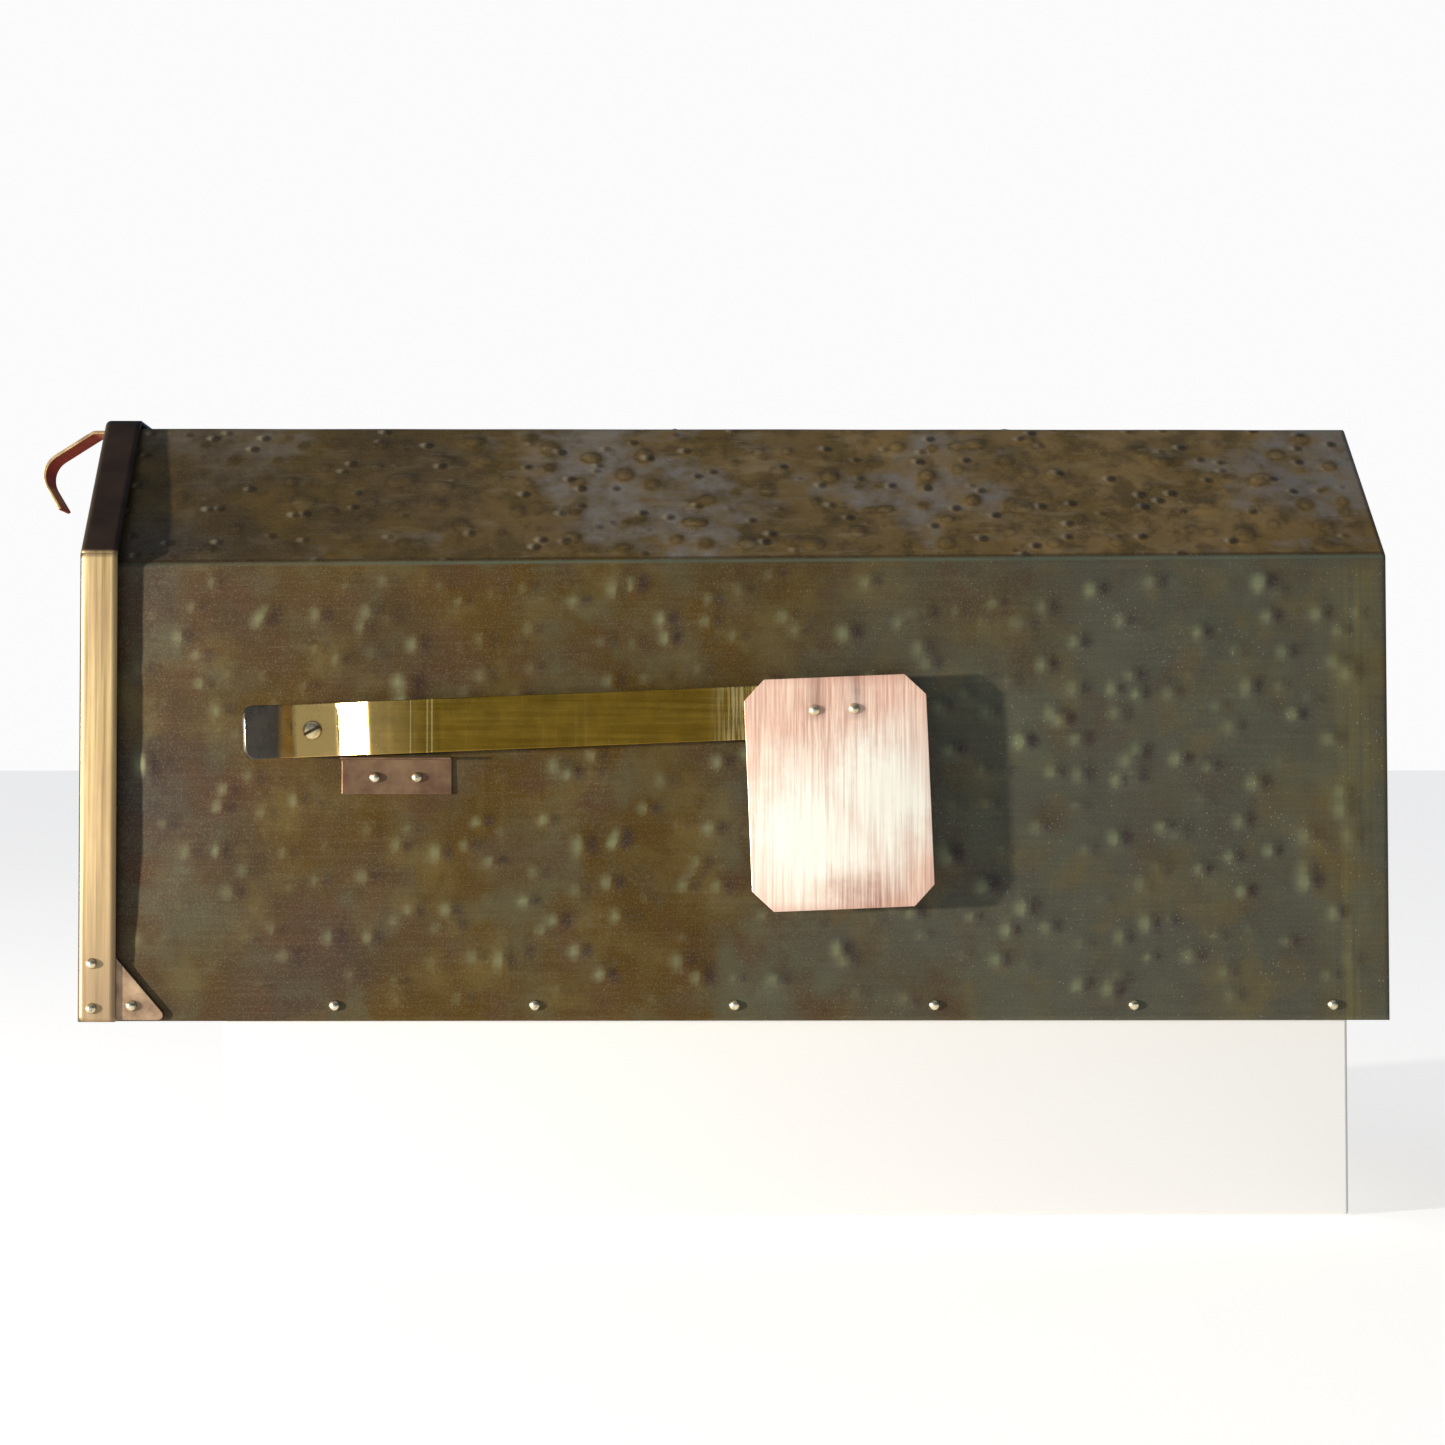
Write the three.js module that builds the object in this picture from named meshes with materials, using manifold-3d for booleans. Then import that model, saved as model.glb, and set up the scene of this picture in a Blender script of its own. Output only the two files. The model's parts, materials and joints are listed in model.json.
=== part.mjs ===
// A hammered sheet-brass letter box with a hinged door at the front and a signal flag on its right side.
// Millimetres, +Z up. +X runs from the door to the back, -Y is the flag side, and the origin is the
// centre of the underside of the floor. "right" and "left" are as seen by someone facing the door.

import * as THREE from "three";
import { mergeVertices } from "three/addons/utils/BufferGeometryUtils.js";
import Module from "manifold-3d";

const wasm = await Module();
wasm.setup();

// ---- Driving dimensions -------------------------------------------------------------------------

const LENGTH = 508; // door face to back edge
const WIDTH = 203; // over the side walls
const EAVE_HEIGHT = 180; // where the walls turn into the roof slopes
const ROOF_RISE = 56; // the slopes stand at 45 degrees, so they also run in by this much
const SHEET = 1.2; // thickness of the body, floor, door and hinge ears
const BEND = 2.5; // centreline radius of the folds in the sheet
const PLAY = 0.3; // gap between neighbours that are fitted into each other
const CONTACT = 0.05; // gap between faces that are drawn together by a fastener

const DOOR_FLANGE = 14.7; // depth of the door's turned-back rim, face included
const DOOR_PLAY = 1.8; // gap between the walls and the inside of that rim
const SHELL_SETBACK = 2.6; // door face to the front edge of the shell
const HINGE_BACK = 20.8; // hinge axis behind the door face
const HINGE_HEIGHT = 6.1;
const EAR_LENGTH = 33.9;
const EAR_HEIGHT = 39.5;
const EAR_BOTTOM = 0.6;
const EAR_CORNER = 2;
const EAR_PLAY = 0.2; // between the ears and the back of the door's face
const EAR_RIVET_BACK = 5.5;
const HINGE_WASHER_RADIUS = 2.9;
const EAR_RIVET_HEIGHTS = { lower: 5.2, upper: 22.5 };

const FLOOR_FLANGE = 12; // height of the floor's turned-up sides
const FLOOR_RIVETS = 6; // on each side
const FLOOR_RIVET_FIRST = -155.1;
const FLOOR_RIVET_PITCH = 77.4;
const FLOOR_RIVET_HEIGHT = 6;
const FLOOR_INSET = { front: 1, back: 0.6 };
const MOUNTING_HOLE = { radius: 3.2, x: 170, y: 60 };
const BACK_INSET = 1.5; // back panel inside the shell's back edge
const BACK_FLANGE = 12.5;
const BACK_NOTCH_PLAY = { depth: 2, height: 0.2 }; // round the back panel, in the floor's sides

const RIVET = { shank: 1.2, hole: 1.5, head: 2.1, rise: 1.8, tail: 1.9, tailRise: 1.1 };

const FLAG_PIVOT_X = -163.6;
const FLAG_PIVOT_HEIGHT = 112.3;
const FLAG_TILT = THREE.MathUtils.degToRad(2.3); // the lowered arm still points slightly up
const ARM_WIDTH = 20.6;
const ARM_THICKNESS = 1.6;
const ARM_BEND = 3;
const ARM_END = 219.6; // from the pivot
const ARM_NEAR = 2.6; // centre of the arm's thickness off the wall, at the pivot
const ARM_FAR = 11.4; // and past the ramp
const RAMP_START = 9.5;
const RAMP_END = 22.8;
const THUMB_TAB_START = -7.5;
const THUMB_TAB_REACH = 17; // sideways and outwards alike, as the tab stands at 45 degrees
const TAB_CHAMFER = 2.5;
const PLATE_THICKNESS = 1;
const PLATE = { start: 166.7, length: 70, top: 12.5, height: 89, chamfer: 8 };
const PLATE_RIVETS = { front: 193.5, rear: 208.8 };

const SCREW = { shank: 2, hole: 2.3, tip: 1.5, slot: 1.1, slotDepth: 1.2 };
const SCREW_HEAD = { radius: 3.6, edge: 1.2, rise: 2.6 };
const SPACER = { radius: 6.5, thickness: 1.65 };
const WASHER = { radius: 5, thickness: 0.8 };
const NUT = { acrossFlats: 7, thickness: 4.4 };

const BRACKET = { front: -152.5, length: 42.8, bottom: 87.5, top: 102.1, reach: 7 };
const BRACKET_SHEET = 1.06;
const BRACKET_BEND = 1;
const BRACKET_RIVETS = { front: -139.6, rear: -123.2 };
const BRACKET_RIVET_HEIGHT = 94.1;

const HANDLE_WIDTH = 22;
const HANDLE_THICKNESS = 1.5;
const HANDLE_FOOT = 206; // height of the foot's lower end
const HANDLE_TOP = 238.2;
const HANDLE_BEND = 2.2;
const HANDLE_CURL = [
  // distance in front of the door and height, from the end of the shelf to the tip
  [11, HANDLE_TOP],
  [29.5, 226.5],
  [32, 217.5],
  [25, 205.5],
];
const HANDLE_RIVET = { height: 212, side: 6 };

const STRIKER = { bottom: 206, top: 234, width: 34, thickness: 1.5 };
const CATCH = { width: 32, sheet: 1.5, bend: 2, leg: -246, end: -226, bottom: 217 };
const CATCH_RIVET = { x: -233, side: 9 };
const MAGNET = { front: -250.7, thickness: 3.8, bottom: 219, top: 231, width: 26 };

// Derived from the above.
const FRONT = -LENGTH / 2;
const BACK = LENGTH / 2;
const WALL = WIDTH / 2;
const ROOF_TOP = EAVE_HEIGHT + ROOF_RISE;
const RIDGE = WALL - ROOF_RISE; // half width of the flat top
const SHELL_FRONT = FRONT + SHELL_SETBACK;
const HINGE_X = FRONT + HINGE_BACK;
const RIM_INSIDE = WALL + DOOR_PLAY;
const EAR_OUTSIDE = RIM_INSIDE - CONTACT;
const FLOOR_SIDE = WALL - SHEET - PLAY;
const SIDES = { right: -1, left: 1 };
const OVERCUT = 10; // how far a cutter runs past the edge that it opens

// ---- Materials ----------------------------------------------------------------------------------

function metal(color, roughness) {
  return new THREE.MeshStandardMaterial({ color, roughness, metalness: 1 });
}

const patinatedBrass = metal(0x5a5234, 0.5);
const rimBrass = metal(0xa89152, 0.35);
const earCopper = metal(0x9c7457, 0.4);
const yellowBrass = metal(0xb79a3c, 0.25);
const brushedCopper = metal(0xd9a088, 0.35);
const rivetMetal = metal(0xb9ac86, 0.3);
const steel = metal(0x8b8d90, 0.35);
const magnetBlack = metal(0x2b2c2e, 0.6);

// ---- Solids -------------------------------------------------------------------------------------

const ALONG_X = new THREE.Matrix4().makeBasis(
  new THREE.Vector3(0, 1, 0),
  new THREE.Vector3(0, 0, 1),
  new THREE.Vector3(1, 0, 0),
);
const TOWARDS_FLAG_SIDE = new THREE.Matrix4().makeBasis(
  new THREE.Vector3(1, 0, 0),
  new THREE.Vector3(0, 0, 1),
  new THREE.Vector3(0, -1, 0),
);

function vectors(pairs) {
  return pairs.map(([x, y]) => new THREE.Vector2(x, y));
}

// A corner replaced by an arc of the given radius.
function arcAtCorner(before, corner, after, radius, steps = 4) {
  const back = before.clone().sub(corner).normalize();
  const on = after.clone().sub(corner).normalize();
  const half = Math.acos(THREE.MathUtils.clamp(back.dot(on), -1, 1)) / 2;
  const middle = back.clone().add(on).normalize();
  const centre = corner.clone().addScaledVector(middle, radius / Math.sin(half));
  const start = corner.clone().addScaledVector(back, radius / Math.tan(half));
  const sweep = (Math.PI - 2 * half) * Math.sign(on.cross(back));
  const points = [];
  for (let i = 0; i <= steps; i += 1) {
    points.push(start.clone().rotateAround(centre, (sweep * i) / steps));
  }
  return points;
}

function roundedPath(corners, radius) {
  const inner = corners.slice(1, -1);
  const arcs = inner.map((corner, i) => arcAtCorner(corners[i], corner, corners[i + 2], radius));
  return [corners[0], ...arcs.flat(), corners.at(-1)];
}

function roundedLoop(corners, radius) {
  const count = corners.length;
  const arcs = corners.map((corner, i) =>
    arcAtCorner(corners[(i + count - 1) % count], corner, corners[(i + 1) % count], radius),
  );
  return arcs.flat();
}

function extruded(outline, depth) {
  return new THREE.ExtrudeGeometry(new THREE.Shape(outline), { depth, bevelEnabled: false });
}

// A strip of sheet bent along the given centreline, then extruded across its width.
function bentSheet(corners, radius, thickness, width) {
  const path = roundedPath(vectors(corners), radius);
  const sides = [1, -1].map((side) =>
    path.map((point, i) => {
      const before = path[Math.max(i - 1, 0)];
      const after = path[Math.min(i + 1, path.length - 1)];
      const along = after.clone().sub(before).normalize();
      const across = new THREE.Vector2(-along.y, along.x);
      return point.clone().addScaledVector(across, (side * thickness) / 2);
    }),
  );
  return extruded([...sides[0], ...sides[1].reverse()], width);
}

function solid(geometry) {
  const bare = new THREE.BufferGeometry();
  const source = geometry.index ? geometry.toNonIndexed() : geometry;
  bare.setAttribute("position", source.getAttribute("position"));
  const merged = mergeVertices(bare, 1e-4);
  const mesh = new wasm.Mesh({
    numProp: 3,
    vertProperties: new Float32Array(merged.attributes.position.array),
    triVerts: new Uint32Array(merged.index.array),
  });
  return new wasm.Manifold(mesh);
}

function geometryOf(manifold) {
  const mesh = manifold.getMesh();
  const geometry = new THREE.BufferGeometry();
  geometry.setAttribute("position", new THREE.BufferAttribute(mesh.vertProperties, 3));
  geometry.setIndex(new THREE.BufferAttribute(mesh.triVerts, 1));
  const flat = geometry.toNonIndexed();
  flat.computeVertexNormals();
  return flat;
}

function cut(geometry, tools) {
  return geometryOf(tools.reduce((body, tool) => body.subtract(solid(tool)), solid(geometry)));
}

// A drill: a long cylinder through the given point along x, y or z.
function drill(axis, radius, [x, y, z], length = 12, segments = 12) {
  const tool = new THREE.CylinderGeometry(radius, radius, length, segments);
  if (axis === "x") tool.rotateZ(Math.PI / 2);
  if (axis === "z") tool.rotateX(Math.PI / 2);
  return tool.translate(x, y, z);
}

// A body of revolution about Z from [radius, height] pairs that start and end on the axis.
function turned(profile, segments = 12) {
  return new THREE.LatheGeometry(vectors(profile), segments).rotateX(Math.PI / 2);
}

function domeProfile(radius, rise, steps = 3) {
  const points = [];
  for (let i = 0; i <= steps; i += 1) {
    const angle = (Math.PI / 2) * (i / steps);
    points.push([i === steps ? 0 : radius * Math.cos(angle), rise * Math.sin(angle)]);
  }
  return points;
}

// A domed rivet along Z: its head stands on z = 0 and its shank passes through the grip below.
// A bucked rivet ends in a button, and a flush one is hammered level with the last sheet.
function rivet(grip, bucked = true) {
  const end = bucked
    ? [[0, -grip - RIVET.tailRise], [RIVET.tail, -grip - RIVET.tailRise], [RIVET.tail, -grip]]
    : [[0, -grip]];
  return turned([
    ...end,
    [RIVET.shank, -grip],
    [RIVET.shank, 0],
    ...domeProfile(RIVET.head, RIVET.rise),
  ]);
}

function ring(outer, inner, thickness, segments = 16) {
  const shape = new THREE.Shape().absarc(0, 0, outer, 0, 2 * Math.PI);
  shape.holes.push(new THREE.Path().absarc(0, 0, inner, 0, 2 * Math.PI, true));
  return new THREE.ExtrudeGeometry(shape, {
    depth: thickness,
    bevelEnabled: false,
    curveSegments: segments / 2,
  });
}

function place(parent, name, geometry, material, position = [0, 0, 0], rotation = [0, 0, 0]) {
  const mesh = new THREE.Mesh(geometry, material);
  mesh.name = name;
  mesh.position.set(...position);
  mesh.rotation.set(...rotation);
  parent.add(mesh);
}

// Turns a fastener made along Z so that its head faces out of the right (-1) or left (+1) wall.
function facingOut(side) {
  return [(-side * Math.PI) / 2, 0, 0];
}

// ---- Body ---------------------------------------------------------------------------------------

// The half-hexagon section of the body, moved outwards (or inwards, if negative) by an offset.
function section(offset, bottom = 0) {
  const shift = offset * Math.tan(Math.PI / 8);
  const half = [
    [WALL + offset, bottom],
    [WALL + offset, EAVE_HEIGHT + shift],
    [RIDGE + shift, ROOF_TOP + offset],
  ];
  const mirrored = half.map(([y, z]) => [-y, z]).reverse();
  return [...half, ...mirrored];
}

const floorRivetPlaces = Array.from(
  { length: FLOOR_RIVETS },
  (_, i) => FLOOR_RIVET_FIRST + i * FLOOR_RIVET_PITCH,
);

function sideHoles(y) {
  const holes = floorRivetPlaces.map((x) => drill("y", RIVET.hole, [x, y, FLOOR_RIVET_HEIGHT]));
  return [...holes, drill("y", RIVET.hole, [HINGE_X, y, HINGE_HEIGHT])];
}

function bodyShell() {
  const depth = BACK - SHELL_FRONT;
  const sheet = bentSheet(section(-SHEET / 2), BEND, SHEET, depth).applyMatrix4(ALONG_X);
  const bracketHoles = Object.values(BRACKET_RIVETS).map((x) =>
    drill("y", RIVET.hole, [x, -WALL, BRACKET_RIVET_HEIGHT]),
  );
  const catchHoles = [-1, 1].map((side) =>
    drill("z", RIVET.hole, [CATCH_RIVET.x, side * CATCH_RIVET.side, ROOF_TOP]),
  );
  return cut(sheet.translate(SHELL_FRONT, 0, 0), [
    ...sideHoles(-WALL),
    ...sideHoles(WALL),
    ...bracketHoles,
    ...catchHoles,
    drill("y", SCREW.hole, [FLAG_PIVOT_X, -WALL, FLAG_PIVOT_HEIGHT]),
  ]);
}

function floorPan() {
  const side = FLOOR_SIDE - SHEET / 2;
  const start = SHELL_FRONT + FLOOR_INSET.front;
  const end = BACK - FLOOR_INSET.back;
  const channel = [
    [-side, FLOOR_FLANGE],
    [-side, SHEET / 2],
    [side, SHEET / 2],
    [side, FLOOR_FLANGE],
  ];
  const sheet = bentSheet(channel, BEND, SHEET, end - start).applyMatrix4(ALONG_X);
  const notchDepth = BACK_FLANGE + BACK_NOTCH_PLAY.depth;
  const backNotch = new THREE.BoxGeometry(2 * notchDepth, WIDTH, 2 * FLOOR_FLANGE);
  backNotch.translate(BACK, 0, FLOOR_FLANGE + SHEET + BACK_NOTCH_PLAY.height);
  const mountingHoles = [-1, 1].flatMap((endSign) =>
    [-1, 1].map((sideSign) =>
      drill("z", MOUNTING_HOLE.radius, [endSign * MOUNTING_HOLE.x, sideSign * MOUNTING_HOLE.y, 0]),
    ),
  );
  return cut(sheet.translate(start, 0, 0), [
    ...sideHoles(-side),
    ...sideHoles(side),
    ...mountingHoles,
    backNotch,
  ]);
}

// A plate with a rim turned along +X from its edge, open on its far side.
function pan(outside, inside, depth) {
  const block = extruded(vectors(outside), depth).applyMatrix4(ALONG_X);
  const hollow = extruded(vectors(inside), depth).applyMatrix4(ALONG_X).translate(SHEET, 0, 0);
  return cut(block, [hollow]);
}

function backPanel() {
  const outside = section(-SHEET - PLAY, SHEET + PLAY);
  const inside = section(-2 * SHEET - PLAY, 2 * SHEET + PLAY);
  return pan(outside, inside, BACK_FLANGE).rotateZ(Math.PI).translate(BACK - BACK_INSET, 0, 0);
}

const mailbox = new THREE.Group();
place(mailbox, "body_shell", bodyShell(), patinatedBrass);
place(mailbox, "floor_pan", floorPan(), patinatedBrass);
place(mailbox, "back_panel", backPanel(), patinatedBrass);

for (const [sideName, side] of Object.entries(SIDES)) {
  floorRivetPlaces.forEach((x, i) => {
    const position = [x, side * (WALL + CONTACT), FLOOR_RIVET_HEIGHT];
    const grip = 2 * SHEET + PLAY + 2 * CONTACT;
    place(mailbox, `floor_rivet_${sideName}_${i + 1}`, rivet(grip), rivetMetal, position, facingOut(side));
  });
}

// ---- Door ---------------------------------------------------------------------------------------

function doorPanel() {
  const outside = section(DOOR_PLAY + SHEET);
  const inside = section(DOOR_PLAY, -OVERCUT);
  const flangeHoles = Object.values(EAR_RIVET_HEIGHTS).flatMap((z) =>
    Object.values(SIDES).map((side) =>
      drill("y", RIVET.hole, [FRONT + EAR_RIVET_BACK, side * RIM_INSIDE, z]),
    ),
  );
  const handleHoles = [-1, 1].map((side) =>
    drill("x", RIVET.hole, [FRONT, side * HANDLE_RIVET.side, HANDLE_RIVET.height]),
  );
  return cut(pan(outside, inside, DOOR_FLANGE).translate(FRONT, 0, 0), [
    ...flangeHoles,
    ...handleHoles,
  ]);
}

function hingeEar() {
  const front = FRONT + SHEET + EAR_PLAY;
  const corners = [
    [front, EAR_BOTTOM],
    [front + EAR_LENGTH, EAR_BOTTOM],
    [front, EAR_BOTTOM + EAR_HEIGHT],
  ];
  const plate = extruded(roundedLoop(vectors(corners), EAR_CORNER), SHEET);
  const rivetX = FRONT + EAR_RIVET_BACK;
  return cut(plate.applyMatrix4(TOWARDS_FLAG_SIDE), [
    ...Object.values(EAR_RIVET_HEIGHTS).map((z) => drill("y", RIVET.hole, [rivetX, 0, z])),
    drill("y", RIVET.hole, [HINGE_X, 0, HINGE_HEIGHT]),
  ]);
}

// The pull: a foot on the door face, a short level shelf, then a hook that curls back to the face.
function handleStrap() {
  const face = FRONT - CONTACT - HANDLE_THICKNESS / 2;
  const corners = [
    [face, HANDLE_FOOT],
    [face, HANDLE_TOP],
    ...HANDLE_CURL.map(([reach, height]) => [FRONT - reach, height]),
  ];
  const strip = bentSheet(corners, HANDLE_BEND, HANDLE_THICKNESS, HANDLE_WIDTH);
  strip.applyMatrix4(TOWARDS_FLAG_SIDE);
  const holes = [-1, 1].map((side) =>
    drill("x", RIVET.hole, [face, side * HANDLE_RIVET.side, HANDLE_RIVET.height]),
  );
  return cut(strip.translate(0, HANDLE_WIDTH / 2, 0), holes);
}

function strikerPlate() {
  const { bottom, top, width, thickness } = STRIKER;
  const x = FRONT + SHEET + CONTACT + thickness / 2;
  const plate = new THREE.BoxGeometry(thickness, width, top - bottom);
  plate.translate(x, 0, (top + bottom) / 2);
  const holes = [-1, 1].map((side) =>
    drill("x", RIVET.hole, [x, side * HANDLE_RIVET.side, HANDLE_RIVET.height]),
  );
  return cut(plate, holes);
}

const door = new THREE.Group();
mailbox.add(door);
place(door, "door_panel", doorPanel(), rimBrass);
place(door, "handle_strap", handleStrap(), yellowBrass);
place(door, "striker_plate", strikerPlate(), steel);

for (const [sideName, side] of Object.entries(SIDES)) {
  const earOffset = side > 0 ? EAR_OUTSIDE : -EAR_OUTSIDE + SHEET;
  place(door, `hinge_ear_${sideName}`, hingeEar(), earCopper, [0, earOffset, 0]);
  for (const [rowName, z] of Object.entries(EAR_RIVET_HEIGHTS)) {
    const position = [FRONT + EAR_RIVET_BACK, side * (RIM_INSIDE + SHEET + CONTACT), z];
    const earRivet = rivet(2 * SHEET + CONTACT, false);
    place(door, `ear_rivet_${sideName}_${rowName}`, earRivet, rivetMetal, position, facingOut(side));
  }
  const handleGrip = HANDLE_THICKNESS + SHEET + STRIKER.thickness + 4 * CONTACT;
  const handleRivetX = FRONT - HANDLE_THICKNESS - 2 * CONTACT;
  const handleRivetPlace = [handleRivetX, side * HANDLE_RIVET.side, HANDLE_RIVET.height];
  const facingFront = [0, -Math.PI / 2, 0];
  place(door, `handle_rivet_${sideName}`, rivet(handleGrip), rivetMetal, handleRivetPlace, facingFront);

  const pivotGrip = EAR_OUTSIDE - FLOOR_SIDE + SHEET + WASHER.thickness + 3 * CONTACT;
  const pivotPlace = [HINGE_X, side * (EAR_OUTSIDE + CONTACT), HINGE_HEIGHT];
  const pivotRivet = rivet(pivotGrip);
  place(mailbox, `hinge_pivot_rivet_${sideName}`, pivotRivet, rivetMetal, pivotPlace, facingOut(side));
  const washer = ring(HINGE_WASHER_RADIUS, RIVET.hole, WASHER.thickness);
  const washerSide = side * (FLOOR_SIDE - SHEET - CONTACT - WASHER.thickness);
  const washerPlace = [HINGE_X, washerSide, HINGE_HEIGHT];
  place(mailbox, `hinge_pivot_washer_${sideName}`, washer, steel, washerPlace, facingOut(side));
}

// ---- Catch --------------------------------------------------------------------------------------

const roofUnderside = ROOF_TOP - SHEET - CONTACT;

function catchBracket() {
  const tabHeight = roofUnderside - CATCH.sheet / 2;
  const corners = [
    [CATCH.end, tabHeight],
    [CATCH.leg, tabHeight],
    [CATCH.leg, CATCH.bottom],
  ];
  const strip = bentSheet(corners, CATCH.bend, CATCH.sheet, CATCH.width);
  strip.applyMatrix4(TOWARDS_FLAG_SIDE);
  const holes = [-1, 1].map((side) =>
    drill("z", RIVET.hole, [CATCH_RIVET.x, side * CATCH_RIVET.side, tabHeight]),
  );
  return cut(strip.translate(0, CATCH.width / 2, 0), holes);
}

function catchMagnet() {
  const { front, thickness, bottom, top, width } = MAGNET;
  const block = new THREE.BoxGeometry(thickness, width, top - bottom);
  return block.translate(front + thickness / 2, 0, (bottom + top) / 2);
}

place(mailbox, "catch_bracket", catchBracket(), steel);
place(mailbox, "catch_magnet", catchMagnet(), magnetBlack);
for (const [sideName, side] of Object.entries(SIDES)) {
  const position = [CATCH_RIVET.x, side * CATCH_RIVET.side, ROOF_TOP + CONTACT];
  const grip = SHEET + CATCH.sheet + 3 * CONTACT;
  place(mailbox, `catch_rivet_${sideName}`, rivet(grip), rivetMetal, position);
}

// ---- Flag ---------------------------------------------------------------------------------------

// In the flag's own group the pivot is the origin, +X runs along the arm and -Y leads off the wall.
function flagArm() {
  const corners = [
    [THUMB_TAB_START - THUMB_TAB_REACH, ARM_NEAR + THUMB_TAB_REACH],
    [THUMB_TAB_START, ARM_NEAR],
    [RAMP_START, ARM_NEAR],
    [RAMP_END, ARM_FAR],
    [ARM_END, ARM_FAR],
  ];
  const strip = bentSheet(corners, ARM_BEND, ARM_THICKNESS, ARM_WIDTH).rotateX(Math.PI);
  strip.translate(0, 0, ARM_WIDTH / 2);
  const tabEnd = THUMB_TAB_START - THUMB_TAB_REACH - ARM_THICKNESS / 2;
  const cutterSize = 4 * TAB_CHAMFER;
  const cutterOffset = cutterSize / 2 / Math.SQRT2 - TAB_CHAMFER / 2;
  const cornerCutters = [-1, 1].map((side) => {
    const cutter = new THREE.BoxGeometry(cutterSize, 4 * THUMB_TAB_REACH, cutterSize);
    cutter.rotateY(Math.PI / 4);
    return cutter.translate(tabEnd - cutterOffset, 0, side * (ARM_WIDTH / 2 + cutterOffset));
  });
  const rivetHoles = Object.values(PLATE_RIVETS).map((x) =>
    drill("y", RIVET.hole, [x, -ARM_FAR, 0]),
  );
  return cut(strip, [...cornerCutters, ...rivetHoles, drill("y", SCREW.hole, [0, -ARM_NEAR, 0])]);
}

const plateBack = ARM_FAR + ARM_THICKNESS / 2 + CONTACT;

function flagPlate() {
  const { start, length, top, height, chamfer } = PLATE;
  const end = start + length;
  const bottom = top - height;
  const outline = [
    [start + chamfer, bottom],
    [end - chamfer, bottom],
    [end, bottom + chamfer],
    [end, top - chamfer],
    [end - chamfer, top],
    [start + chamfer, top],
    [start, top - chamfer],
    [start, bottom + chamfer],
  ];
  const plate = extruded(vectors(outline), PLATE_THICKNESS).applyMatrix4(TOWARDS_FLAG_SIDE);
  const holes = Object.values(PLATE_RIVETS).map((x) =>
    drill("y", RIVET.hole, [x, -plateBack, 0]),
  );
  return cut(plate.translate(0, -plateBack, 0), holes);
}

const outwards = facingOut(SIDES.right);
const flag = new THREE.Group();
flag.position.set(FLAG_PIVOT_X, -WALL, FLAG_PIVOT_HEIGHT);
flag.rotation.y = -FLAG_TILT;
mailbox.add(flag);
place(flag, "flag_arm", flagArm(), yellowBrass);
place(flag, "flag_plate", flagPlate(), brushedCopper);
for (const [rowName, x] of Object.entries(PLATE_RIVETS)) {
  const position = [x, -plateBack - PLATE_THICKNESS - CONTACT, 0];
  const grip = PLATE_THICKNESS + ARM_THICKNESS + 3 * CONTACT;
  place(flag, `flag_plate_rivet_${rowName}`, rivet(grip), rivetMetal, position, outwards);
}

// ---- Flag pivot ---------------------------------------------------------------------------------

const armFront = ARM_NEAR + ARM_THICKNESS / 2;
const headSeat = armFront + 2 * CONTACT;
const nutSeat = SHEET + 2 * CONTACT + WASHER.thickness;

function pivotScrew() {
  const { shank, tip, slot, slotDepth } = SCREW;
  const { radius, edge, rise } = SCREW_HEAD;
  const length = headSeat + nutSeat + NUT.thickness + tip;
  const crown = domeProfile(radius, rise - edge).map(([r, height]) => [r, edge + height]);
  const profile = [[0, -length], [shank, -length], [shank, 0], [radius, 0], ...crown];
  const slotCutter = new THREE.BoxGeometry(3 * radius, slot, 2 * slotDepth);
  return cut(turned(profile, 16), [slotCutter.translate(0, 0, rise)]);
}

function lockNut() {
  const corner = NUT.acrossFlats / Math.sqrt(3);
  const outline = Array.from({ length: 6 }, (_, i) => [
    corner * Math.cos((i * Math.PI) / 3),
    corner * Math.sin((i * Math.PI) / 3),
  ]);
  return cut(extruded(vectors(outline), NUT.thickness), [drill("z", SCREW.hole, [0, 0, 0])]);
}

const pivot = new THREE.Group();
pivot.position.set(FLAG_PIVOT_X, -WALL, FLAG_PIVOT_HEIGHT);
mailbox.add(pivot);
const spacer = ring(SPACER.radius, SCREW.hole, SPACER.thickness);
const innerWasher = ring(WASHER.radius, SCREW.hole, WASHER.thickness);
const innerWasherPlace = [0, SHEET + CONTACT + WASHER.thickness, 0];
place(pivot, "flag_pivot_screw", pivotScrew(), rivetMetal, [0, -headSeat, 0], outwards);
place(pivot, "flag_spacer", spacer, steel, [0, -CONTACT, 0], outwards);
place(pivot, "flag_inner_washer", innerWasher, steel, innerWasherPlace, outwards);
place(pivot, "flag_lock_nut", lockNut(), steel, [0, nutSeat + NUT.thickness, 0], outwards);

// ---- Flag stop ----------------------------------------------------------------------------------

// An angle whose shelf carries the lowered arm, and whose front end stops the raised arm's tail.
function stopBracket() {
  const { front, length, bottom, top, reach } = BRACKET;
  const wallPlate = CONTACT + BRACKET_SHEET / 2;
  const shelf = top - BRACKET_SHEET / 2;
  const corners = [
    [-wallPlate, bottom],
    [-wallPlate, shelf],
    [-reach, shelf],
  ];
  const angle = bentSheet(corners, BRACKET_BEND, BRACKET_SHEET, length).applyMatrix4(ALONG_X);
  const holes = Object.values(BRACKET_RIVETS).map((x) =>
    drill("y", RIVET.hole, [x, 0, BRACKET_RIVET_HEIGHT]),
  );
  return cut(angle.translate(front, 0, 0), holes);
}

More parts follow.
